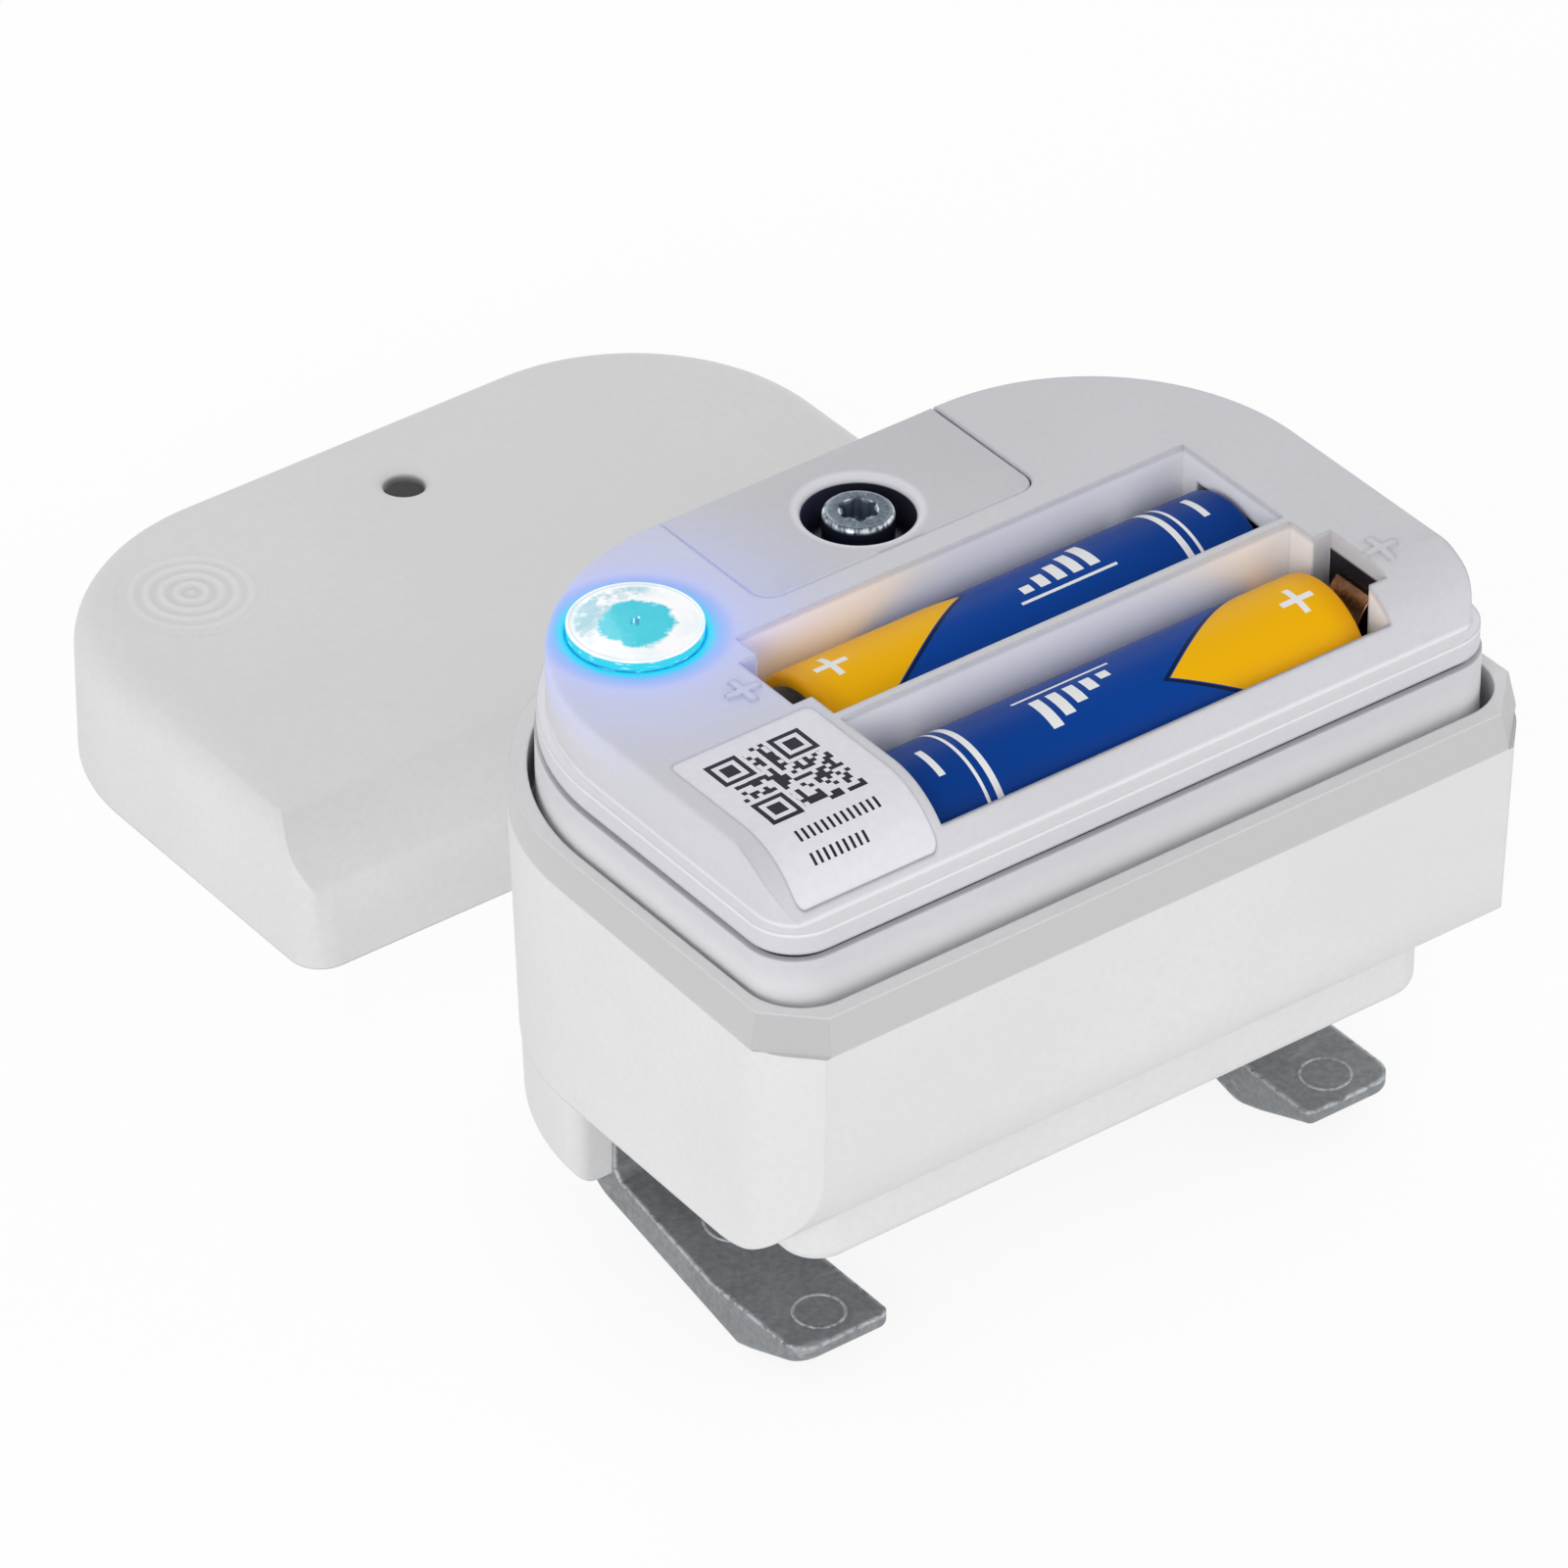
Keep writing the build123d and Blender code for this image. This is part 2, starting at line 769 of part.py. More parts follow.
with BuildPart() as label_cut:
    add(label_sheet.part)
    with BuildSketch(side_plane):
        add(tray_roof(label_recess))
    extrude(amount=far, mode=Mode.SUBTRACT)

with BuildPart() as battery_tray:
    with BuildSketch():
        add(tray_plan())
    extrude(amount=lip_bottom)
    fillet(battery_tray.faces().sort_by(Axis.Z)[-1].edges(), tray_edge_radius)
    with BuildSketch(side_plane):
        add(tray_roof(0))
    extrude(amount=far, mode=Mode.INTERSECT)
    with BuildSketch(Plane.XY.offset(lip_top)):
        add(tray_plan(lip_overhang))
    extrude(amount=lip_bottom - lip_top)
    add(tray_hollow.part, mode=Mode.SUBTRACT)
    # spigot that locates the tray in the housing
    with BuildSketch(Plane.XY.offset(lip_bottom)):
        add(tray_plan(spigot_grow))
        add(tray_plan(spigot_grow - tray_spigot_wall), mode=Mode.SUBTRACT)
    extrude(amount=-tray_spigot_depth)
    add(bay_boxes.part)
    add(raised_marks.part)
    add(bay_spaces.part, mode=Mode.SUBTRACT)
    add(label_cut.part, mode=Mode.SUBTRACT)
    # recess for the screw plate, its hub hole and the two screws hidden under it
    with BuildSketch(Plane.XY.offset(1)) as recess_outline:
        with Locations((0, recess_front)):
            Rectangle(2 * recess_half, far, align=(Align.CENTER, Align.MIN))
        fillet(recess_outline.vertices().group_by(Axis.Y)[0], plate_corner + plate_clearance)
    extrude(amount=-plate_thickness - 1, mode=Mode.SUBTRACT)
    with Locations((0, 0, -plate_thickness)):
        Hole(hub_radius + spigot_clearance, -tray_slab_bottom)
    with Locations(*[(x, y, -plate_thickness) for x, y in tray_screw_spots]):
        CounterBoreHole(small_hole, small_counterbore, small_counterbore_depth, -tray_slab_bottom)
    with Locations((button_x, button_y, 0)):
        Hole(button_radius + button_gap, tray_top_thickness + 0.1)
finish(battery_tray.part, "battery_tray")
finish(small_screws(tray_screw_spots, tray_screw_seat, 6.0), "tray_screws")

with BuildPart() as identification_label:
    add(label_cut.part)
    with BuildSketch(side_plane):
        add(tray_roof(label_recess - label_thickness))
    extrude(amount=far, mode=Mode.INTERSECT)
finish(identification_label.part, "identification_label")

with BuildPart() as screw_plate:
    with BuildSketch() as plate_outline:
        with Locations((0, plate_front)):
            Rectangle(
                2 * plate_half_width, tray_back - plate_front, align=(Align.CENTER, Align.MIN)
            )
        fillet(plate_outline.vertices().group_by(Axis.Y)[0], plate_corner)
    extrude(amount=-plate_thickness)
    with BuildSketch(Plane.XY.offset(-plate_thickness)):
        Circle(hub_radius)
    extrude(amount=hub_bottom + plate_thickness)
    with BuildSketch():
        Circle(access_hole_radius)
    extrude(amount=screw_seat, mode=Mode.SUBTRACT)
    with Locations((0, 0, screw_seat)):
        Hole(screw_radius + screw_clearance, screw_seat - hub_bottom)
    rim = screw_plate.edges().filter_by(GeomType.CIRCLE).group_by(Axis.Z)[-1]
    fillet(rim.filter_by(lambda edge: abs(edge.radius - access_hole_radius) < 0.1), access_rim)
finish(screw_plate.part, "screw_plate")

# ---------------------------------------------------------------- clamp screw
recess_lobe_radius = 0.45
recess_lobe_circle = 1.5
recess_depth = 2.2
with BuildPart() as clamp_screw:
    with BuildSketch():
        Circle(screw_head_radius)
    extrude(amount=-screw_head_height)
    fillet(clamp_screw.faces().sort_by(Axis.Z)[-1].edges(), 0.5)
    with BuildSketch(Plane.XY.offset(-screw_head_height)):
        Circle(screw_radius)
    extrude(amount=-screw_length)
    chamfer(clamp_screw.faces().sort_by(Axis.Z)[0].edges(), 0.5)
    with BuildSketch():
        Circle(recess_lobe_circle)
        with PolarLocations(recess_lobe_circle, 6):
            Circle(recess_lobe_radius)
    extrude(amount=-recess_depth, mode=Mode.SUBTRACT)
finish(clamp_screw.part, "clamp_screw")

with BuildPart() as screw_washer:
    with BuildSketch(Plane.XY.offset(screw_seat)):
        Circle(washer_radius)
        Circle(screw_radius + screw_clearance, mode=Mode.SUBTRACT)
    extrude(amount=washer_thickness)
finish(screw_washer.part, "screw_washer")

with BuildPart() as screw_retaining_ring:
    with BuildSketch(Plane.XY.offset(ring_top)):
        Circle(ring_radius)
        Circle(screw_radius, mode=Mode.SUBTRACT)
        with Locations((0, -ring_radius)):
            Rectangle(1.6, ring_radius, mode=Mode.SUBTRACT)
    extrude(amount=-ring_thickness)
finish(screw_retaining_ring.part, "screw_retaining_ring")

# ---------------------------------------------------------------- yoke and jaws
nut_ceiling = yoke_bottom + nut_height + 0.2
jaw_middle = (jaw_inner + jaw_outer) / 2
jaw_screw_y = (stem_front + stem_back) / 2
jaw_screw_offset = 2.7
jaw_screw_spots = [
    (side * (jaw_middle + shift), jaw_screw_y)
    for side in (-1, 1)
    for shift in (-jaw_screw_offset, jaw_screw_offset)
]
jaw_screw_seat = yoke_top - small_counterbore_depth
jaw_screw_length = 12.0
with BuildPart() as clamp_yoke:
    with BuildSketch(Plane.XY.offset(yoke_top)):
        Polygon(
            (-jaw_outer, stem_front),
            (-jaw_inner, stem_front),
            (-8.0, -6.2),
            (8.0, -6.2),
            (jaw_inner, stem_front),
            (jaw_outer, stem_front),
            (jaw_outer, stem_back),
            (jaw_inner, stem_back),
            (7.0, 4.0),
            (-7.0, 4.0),
            (-jaw_inner, stem_back),
            (-jaw_outer, stem_back),
            align=None,
        )
        Circle(yoke_centre_radius)
    extrude(amount=-yoke_height)
    fillet(clamp_yoke.faces().sort_by(Axis.Z)[-1].edges(), 0.5)
    with BuildSketch(Plane.XY.offset(yoke_bottom)):
        RegularPolygon(nut_across_flats / 2, 6, major_radius=False)
    extrude(amount=nut_ceiling - yoke_bottom, mode=Mode.SUBTRACT)
    with Locations((0, 0, yoke_top)):
        Hole(screw_radius + screw_clearance, yoke_height)
    with Locations(*[(x, y, yoke_top) for x, y in jaw_screw_spots]):
        CounterBoreHole(small_hole, small_counterbore, small_counterbore_depth, yoke_height)
finish(clamp_yoke.part, "clamp_yoke")
finish(small_screws(jaw_screw_spots, jaw_screw_seat, jaw_screw_length), "jaw_screws")

nut_bore_radius = screw_radius + 0.03
with BuildPart() as yoke_nut:
    with BuildSketch(Plane.XY.offset(nut_ceiling)):
        RegularPolygon(nut_across_flats / 2, 6, major_radius=False)
        Circle(nut_bore_radius, mode=Mode.SUBTRACT)
    extrude(amount=-nut_height)
finish(yoke_nut.part, "yoke_nut")

ramp_end = -10.0
ramp_slope = jaw_ramp_rise / (ramp_end - jaw_ramp_start)
jaw_heel_z = jaw_top + ramp_slope * (stem_front - jaw_ramp_start)
jaw_belly_start = jaw_tip + jaw_chin_flat
jaw_belly_z = jaw_bottom + ramp_slope * (stem_back - jaw_belly_start)
jaw_heel_radius = 1.5
jaw_back_radius = 5.0
jaw_tip_radius = 2.5
jaw_edge_radius = 1.0
with BuildPart() as left_jaw:
    with BuildSketch(Plane.YZ.offset(-jaw_outer)) as jaw_side:
        with BuildLine():
            Polyline(
                (stem_front, yoke_bottom),
                (stem_front, jaw_heel_z),
                (jaw_ramp_start, jaw_top),
                (jaw_tip, jaw_top),
                (jaw_tip, jaw_top - jaw_tip_thickness),
                (jaw_tip + jaw_chin_depth, jaw_bottom + jaw_chin_rise),
                (jaw_belly_start, jaw_bottom),
                (stem_back, jaw_belly_z),
                (stem_back, yoke_bottom),
                close=True,
            )
        make_face()
        fillet(jaw_side.vertices().sort_by_distance((stem_front, jaw_heel_z))[0], jaw_heel_radius)
        fillet(jaw_side.vertices().sort_by_distance((stem_back, jaw_belly_z))[0], jaw_back_radius)
    extrude(amount=jaw_outer - jaw_inner)
    with BuildSketch(Plane.XY.offset(jaw_bottom - 1)) as jaw_plan:
        with Locations((-jaw_middle, jaw_tip)):
            Rectangle(jaw_outer - jaw_inner, far, align=(Align.CENTER, Align.MIN))
        fillet(jaw_plan.vertices().group_by(Axis.Y)[0].sort_by(Axis.X)[0], jaw_tip_radius)
        fillet(jaw_plan.vertices().group_by(Axis.Y)[0].sort_by(Axis.X)[-1], 1.0)
    extrude(amount=far, mode=Mode.INTERSECT)
    lower_edges = left_jaw.edges().filter_by_position(Axis.X, -jaw_outer - 0.1, -jaw_outer + 0.1)
    fillet(lower_edges.filter_by_position(Axis.Z, jaw_bottom, jaw_top - 0.4), jaw_edge_radius)
    with Locations(*[(x, y, yoke_bottom) for x, y in jaw_screw_spots if x < 0]):
        Hole(small_screw_radius + small_thread_gap, jaw_screw_length - 4.0)
finish(left_jaw.part, "left_jaw")
finish(mirror(left_jaw.part, Plane.YZ), "right_jaw")

# ---------------------------------------------------------------- cells and contacts
can_radius = cell_radius - cell_wrap
can_edge_radius = 0.5
rear_tip = bay_left + nub_gap
front_tip = bay_right - nub_gap


def along_cell(y, tip, side, depth):
    """Plane across a cell, this far in from its positive tip; side is where the tip points."""
    return Plane(origin=(tip - side * depth, y, -cell_depth), x_dir=(0, 1, 0), z_dir=(-side, 0, 0))


def cell_can(y, tip, side):
    with BuildPart(mode=Mode.PRIVATE) as can:
        with BuildSketch(along_cell(y, tip, side, nub_height)):
            Circle(can_radius)
        extrude(amount=cell_length - nub_height)
        fillet(can.edges().filter_by(GeomType.CIRCLE), can_edge_radius)
        with BuildSketch(along_cell(y, tip, side, 0)):
            Circle(nub_radius)
        extrude(amount=nub_height)
    return can.part


def cell_wrap_tube(y, tip, side):
    with BuildPart(mode=Mode.PRIVATE) as tube:
        with BuildSketch(along_cell(y, tip, side, nub_height + can_edge_radius)):
            Circle(cell_radius)
            Circle(can_radius, mode=Mode.SUBTRACT)
        extrude(amount=cell_length - nub_height - 2 * can_edge_radius)
    return tube.part


finish(cell_can(rear_cell_y, rear_tip, -1), "rear_cell_can")
finish(cell_wrap_tube(rear_cell_y, rear_tip, -1), "rear_cell_wrap")
finish(cell_can(front_cell_y, front_tip, 1), "front_cell_can")
finish(cell_wrap_tube(front_cell_y, front_tip, 1), "front_cell_wrap")

contact_touch_gap = 0.15
contact_half_height = 5.0
with BuildPart() as positive_contacts:
    for bay_y, plus_side in bays:
        foot_x = bay_end(plus_side) + plus_side * (contact_notch - 0.05)
        peak_x = bay_end(plus_side) - plus_side * (nub_gap - contact_touch_gap)
        with BuildSketch(Plane.XZ.offset(-bay_y - contact_width / 2)):
            with BuildLine():
                outer_low = (foot_x, -cell_depth - contact_half_height)
                outer_high = (foot_x, -cell_depth + contact_half_height)
                inner_low = (foot_x - plus_side * contact_thickness, outer_low[1])
                inner_high = (foot_x - plus_side * contact_thickness, outer_high[1])
                ThreePointArc(
                    outer_low, (peak_x + plus_side * contact_thickness, -cell_depth), outer_high
                )
                Line(outer_high, inner_high)
                ThreePointArc(inner_high, (peak_x, -cell_depth), inner_low)
                Line(inner_low, outer_low)
            make_face()
        extrude(amount=contact_width)
finish(positive_contacts.part, "positive_contacts")

spring_turns = 3
spring_end_gap = 0.1
spring_inset = spring_wire_radius + 0.05  # wire's centre from the pocket's end
spring_reach = spring_pocket + cell_end_gap - spring_inset - spring_wire_radius - spring_end_gap
with BuildPart() as cell_spring:
    with BuildLine() as coil:
        Helix(spring_reach / spring_turns, spring_reach, spring_radius)
    with BuildSketch(Plane(origin=coil.line @ 0, z_dir=coil.line % 0)):
        Circle(spring_wire_radius)
    sweep(is_frenet=True)

with BuildPart() as negative_springs:
    for bay_y, plus_side in bays:
        base_x = bay_end(-plus_side) - plus_side * (spring_pocket - spring_inset)
        with Locations(Location((base_x, bay_y, -cell_depth), (0, plus_side * 90, 0))):
            add(cell_spring.part)
finish(negative_springs.part, "negative_springs")

# ---------------------------------------------------------------- status button
flange_top = -tray_top_thickness - 0.1
stem_bottom = status_board_top + switch_height + plunger_height + plunger_gap + button_travel
lens_dome_radius = (button_radius**2 + button_proud**2) / (2 * button_proud)
board_centre_x, board_centre_y = status_board_centre
with BuildPart() as status_button:
    with BuildSketch(Plane.XY.offset(flange_top)):
        with Locations((button_x, button_y)):
            Circle(button_flange_radius)
        add(tray_plan(-tray_wall - running_gap), mode=Mode.INTERSECT)
    extrude(amount=-button_flange)
    with BuildSketch(Plane.XY.offset(flange_top)):
        with Locations((button_x, button_y)):
            Circle(button_radius)
    extrude(amount=button_proud - flange_top)
    with BuildSketch(Plane.XY.offset(flange_top)):
        with Locations((button_x, button_y)):
            Circle(button_stem_radius)
    extrude(amount=stem_bottom - flange_top)
    with Locations((button_x, button_y, button_proud - lens_dome_radius)):
        Sphere(lens_dome_radius, mode=Mode.INTERSECT)
finish(status_button.part, "status_button")

with BuildPart() as status_board:
    with BuildSketch(Plane.XY.offset(status_board_top)):
        with Locations(status_board_centre):
            RectangleRounded(status_board_length, status_board_width, 0.6)
    extrude(amount=-board_thickness)
finish(status_board.part, "status_board")

with BuildPart() as button_switch:
    with BuildSketch(Plane.XY.offset(status_board_top)):
        with Locations((button_x, button_y)):
            RectangleRounded(switch_size, switch_size, 0.4)
    extrude(amount=switch_height)
    with BuildSketch(Plane.XY.offset(status_board_top + switch_height)):
        with Locations((button_x, button_y)):
            Circle(plunger_radius)
    extrude(amount=plunger_height)
finish(button_switch.part, "button_switch")

led_offset_x = -4.3
led_offset_y = -3.6
led_size = 1.6
led_height = 0.9
with BuildPart() as status_led:
    with BuildSketch(Plane.XY.offset(status_board_top)):
        with Locations((board_centre_x + led_offset_x, board_centre_y + led_offset_y)):
            Rectangle(led_size, led_size * 3 / 4)
    extrude(amount=led_height)
finish(status_led.part, "status_led")

button_spring_turns = 5
button_spring_bottom = status_board_top + button_spring_wire + 0.05
button_spring_top = flange_top - button_flange - button_spring_wire - 0.05
with BuildPart() as button_spring:
    with BuildLine() as button_coil:
        Helix(
            (button_spring_top - button_spring_bottom) / button_spring_turns,
            button_spring_top - button_spring_bottom,
            button_spring_radius,
            center=(button_x, button_y, button_spring_bottom),
        )
    with BuildSketch(Plane(origin=button_coil.line @ 0, z_dir=button_coil.line % 0)):
        Circle(button_spring_wire)
    sweep(is_frenet=True)
finish(button_spring.part, "button_spring")

# ---------------------------------------------------------------- main board
with BuildPart() as main_board:
    with BuildSketch(Plane.XY.offset(main_board_top)):
        with Locations((0, (main_board_front + main_board_back) / 2)):
            RectangleRounded(2 * main_board_half, main_board_back - main_board_front, 2.0)
    extrude(amount=-board_thickness)
    with Locations(*[(x, y, main_board_top) for x, y in board_spots]):
        Hole(small_hole, board_thickness)
finish(main_board.part, "main_board")
finish(small_screws(board_spots, main_board_top, board_thickness + 3.8), "board_screws")

board_middle_y = main_board_front + 12.5
module_length = 18.0
module_width = 14.0
module_x = -main_board_half + module_length + 2.0
with BuildPart() as radio_module:
    with BuildSketch(Plane.XY.offset(main_board_top)):
        with Locations((module_x, board_middle_y)):
            RectangleRounded(module_length, module_width, 0.8)
    extrude(amount=2.4)
    fillet(radio_module.faces().sort_by(Axis.Z)[-1].edges(), 0.3)
finish(radio_module.part, "radio_module")

# a bent strip on two feet
antenna_length = 16.0
antenna_left = main_board_half - antenna_length - 6.0
antenna_width = 4.0
antenna_y = board_middle_y + antenna_width / 2
antenna_rise = 2.8
antenna_strip = 0.4
with BuildPart() as antenna:
    with BuildSketch(Plane.XZ.offset(-antenna_y)):
        with Locations((antenna_left + antenna_length / 2, main_board_top + antenna_rise / 2)):
            Rectangle(antenna_length, antenna_rise)
        with Locations(
            (antenna_left + antenna_length / 2, main_board_top + (antenna_rise - antenna_strip) / 2)
        ):
            Rectangle(
                antenna_length - 2 * antenna_strip, antenna_rise - antenna_strip, mode=Mode.SUBTRACT
            )
    extrude(amount=antenna_width)
finish(antenna.part, "antenna")

capacitor_radius = 5.0
capacitor_length = 24.0
with BuildPart() as supercapacitor:
    with BuildSketch(Plane.YZ.offset(-capacitor_length / 2)):
        with Locations((board_middle_y, main_board_bottom - capacitor_radius - 0.1)):
            Circle(capacitor_radius)
    extrude(amount=capacitor_length)
    fillet(supercapacitor.edges().filter_by(GeomType.CIRCLE), 0.6)
finish(supercapacitor.part, "supercapacitor")

# ---------------------------------------------------------------- cap
seal_width = 0.9
seal_height = 1.4
seal_lift = 1.2


def cap_plan(inset):
    return d_plan(
        cap_half - inset,
        cap_half_back - inset,
        cap_front + inset,
        cap_back - inset,
        cap_back_radius - inset,
        cap_front_corner - inset,
        x=cap_x,
        y=cap_y,
    )


def cap_roof(inset):
    return roof_side(
        cap_y + cap_front + inset, cap_top - inset, cap_roll_radius - inset, far, cap_base - 1
    )


with BuildPart() as cap_hollow:
    with BuildSketch(Plane.XY.offset(cap_base)):
        add(cap_plan(cap_wall))
    extrude(amount=cap_height - cap_wall)
    fillet(cap_hollow.faces().sort_by(Axis.Z)[-1].edges(), cap_edge_radius - cap_wall)
    with BuildSketch(side_plane):
        add(cap_roof(cap_wall))
    extrude(amount=far, mode=Mode.INTERSECT)

with BuildPart() as cap:
    with BuildSketch(Plane.XY.offset(cap_base)):
        add(cap_plan(0))
    extrude(amount=cap_height)
    fillet(cap.faces().sort_by(Axis.Z)[-1].edges(), cap_edge_radius)
    with BuildSketch(side_plane):
        add(cap_roof(0))
    extrude(amount=far, mode=Mode.INTERSECT)
    add(cap_hollow.part, mode=Mode.SUBTRACT)
    with Locations((cap_x, cap_y, cap_top)):
        Hole(cap_hole_radius, 2 * cap_wall)
    hole_rim = cap.edges().filter_by(GeomType.CIRCLE).filter_by(
        lambda edge: abs(edge.radius - cap_hole_radius) < 0.01
    )
    fillet(hole_rim.sort_by(Axis.Z)[-1], cap_wall - 0.2)
finish(cap.part, "cap")

with BuildPart() as cap_seal:
    with BuildSketch(Plane.XY.offset(cap_base + seal_lift)):
        add(cap_plan(cap_wall))
        add(cap_plan(cap_wall + seal_width), mode=Mode.SUBTRACT)
    extrude(amount=seal_height)
finish(cap_seal.part, "cap_seal")
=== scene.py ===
"""Looks of a clamp-on pipe sensor unit with its cap taken off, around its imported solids."""
import json
from math import cos, pi, radians, sin

import bmesh
import bpy
from mathutils import Matrix, Vector


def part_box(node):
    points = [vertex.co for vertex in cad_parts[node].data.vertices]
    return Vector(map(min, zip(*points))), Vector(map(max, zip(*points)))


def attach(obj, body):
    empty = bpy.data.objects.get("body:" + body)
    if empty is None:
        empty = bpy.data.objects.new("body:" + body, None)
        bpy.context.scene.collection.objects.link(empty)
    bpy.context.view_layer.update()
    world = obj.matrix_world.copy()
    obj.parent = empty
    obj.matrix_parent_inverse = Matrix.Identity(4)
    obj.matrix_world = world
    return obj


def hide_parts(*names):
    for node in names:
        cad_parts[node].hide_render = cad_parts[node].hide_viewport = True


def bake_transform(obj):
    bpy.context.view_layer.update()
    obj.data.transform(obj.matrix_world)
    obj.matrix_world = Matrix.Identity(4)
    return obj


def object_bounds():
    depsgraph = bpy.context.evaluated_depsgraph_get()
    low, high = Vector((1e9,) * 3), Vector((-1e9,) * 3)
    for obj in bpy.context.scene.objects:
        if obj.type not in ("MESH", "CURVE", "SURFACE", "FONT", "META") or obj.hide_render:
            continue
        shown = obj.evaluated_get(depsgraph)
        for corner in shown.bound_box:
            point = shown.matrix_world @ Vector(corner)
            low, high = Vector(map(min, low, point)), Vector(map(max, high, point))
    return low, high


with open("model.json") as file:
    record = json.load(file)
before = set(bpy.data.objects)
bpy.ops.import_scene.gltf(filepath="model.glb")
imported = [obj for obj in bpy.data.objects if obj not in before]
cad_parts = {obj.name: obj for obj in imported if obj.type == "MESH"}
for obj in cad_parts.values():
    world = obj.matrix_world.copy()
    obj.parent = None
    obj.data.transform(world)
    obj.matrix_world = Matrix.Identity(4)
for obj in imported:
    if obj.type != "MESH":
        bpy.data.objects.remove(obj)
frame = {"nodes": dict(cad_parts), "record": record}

bl_info = {
    "name": "Pipe sensor unit",
    "version": (1, 0, 0),
    "blender": (4, 5, 0),
    "location": "View3D > Sidebar > Sensor",
    "description": "Builds the finishes, cells, lens and springs of a clamp-on pipe sensor unit",
    "category": "Object",
}

MM = 0.001
cad_low, cad_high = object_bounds()

# ---- places and sizes, in millimetres
BUTTON = (-27.9, -3.4)
LENS_RADIUS = 6.33
CELL_AXIS_Z = -8.8
WRAP_RADIUS = 7.15
REAR_CELL_Y = -17.0
FRONT_CELL_Y = -32.7
BAYS_CENTRE, BAYS_HALF = (4.5, -24.85), (25.95, 15.3)
# the front of the tray's top is rolled down
ROLL_START_Y, ROLL_RADIUS = -33.2, 9.0
FILM_LEFT_X, FILM_BACK_Y = -38.0, -22.0
CAP_AXIS = (9.3, 86.2)
CAP_SPOT = (CAP_AXIS[0] + BUTTON[0], CAP_AXIS[1] + BUTTON[1])
# the jaws' inner face is level at the front and climbs behind the bend
JAW_BEND_Y, JAW_SLOPE = -24.0, 3.2 / 14.0
JAW_RING_SPOTS = ((29.8, -33.5), (29.2, -19.0))
THREAD_TOP_Z = -8.0


def tint(red, green, blue):
    """Linear colour, with alpha, of a shade given in the usual 0 to 255 steps."""
    parts = [channel / 255 for channel in (red, green, blue)]
    linear = [p / 12.92 if p <= 0.04045 else ((p + 0.055) / 1.055) ** 2.4 for p in parts]
    return (*linear, 1.0)


def scaled(colour, gain, lift=0.0):
    """A lighter or darker version of a colour."""
    return (*(min(1.0, channel * gain + lift) for channel in colour[:3]), 1.0)


# ---- node trees
def operation(kind):
    """A method of a value that adds one Math node."""
    return lambda value, *others: value.math(kind, *others)


class Value:
    """A socket of a node tree; arithmetic on it adds Math nodes."""

    def __init__(self, owner, socket):
        self.owner, self.socket = owner, socket

    def output(self, name):
        """Another output of the same node."""
        return Value(self.owner, self.socket.node.outputs[name])

    def math(self, kind, *others):
        return self.owner.maths(kind, self, *others)

    def __rsub__(self, other):
        return self.owner.maths("SUBTRACT", other, self)

    __add__ = __radd__ = operation("ADD")
    __sub__ = operation("SUBTRACT")
    __mul__ = operation("MULTIPLY")
    __truediv__ = operation("DIVIDE")
    __abs__ = operation("ABSOLUTE")
    above = operation("GREATER_THAN")
    below = operation("LESS_THAN")
    most = operation("MAXIMUM")
    least = operation("MINIMUM")

    def between(self, low, high):
        return self.above(low) * self.below(high)

    def within(self, half, centre):
        """1 up to half away from the centre, 0 beyond."""
        return abs(self - centre).below(half)

    def cycle(self, size):
        """Rises from 0 to 1 over each stretch of the given size."""
        return (self / size).math("FRACT")

    def step(self, low, high):
        """0 below low, 1 above high and smooth between."""
        sockets = {"Value": self, "From Min": low, "From Max": high}
        return self.owner.node("ShaderNodeMapRange", sockets, {"interpolation_type": "SMOOTHSTEP"})

    def fall(self, low, high):
        """1 below low, 0 above high and smooth between."""
        return 1 - self.step(low, high)


class Nodes:
    """A node tree, filled by calls that return values."""

    def __init__(self, tree):
        self.tree = tree
        tree.nodes.clear()

    def node(self, kind, sockets=None, settings=None, output=0):
        node = self.tree.nodes.new(kind)
        for key, value in (settings or {}).items():
            setattr(node, key, value)
        for key, value in (sockets or {}).items():
            if isinstance(value, Value):
                self.tree.links.new(value.socket, node.inputs[key])
            else:
                node.inputs[key].default_value = value
        return Value(self, node.outputs[output]) if node.outputs else None

    def maths(self, operation, *values):
        return self.node("ShaderNodeMath", dict(enumerate(values)), {"operation": operation})

    def vector(self, x=0.0, y=0.0, z=0.0):
        return self.node("ShaderNodeCombineXYZ", {"X": x, "Y": y, "Z": z})

    def split(self, vector):
        parts = self.node("ShaderNodeSeparateXYZ", {"Vector": vector})
        return [parts.output(axis) for axis in "XYZ"]


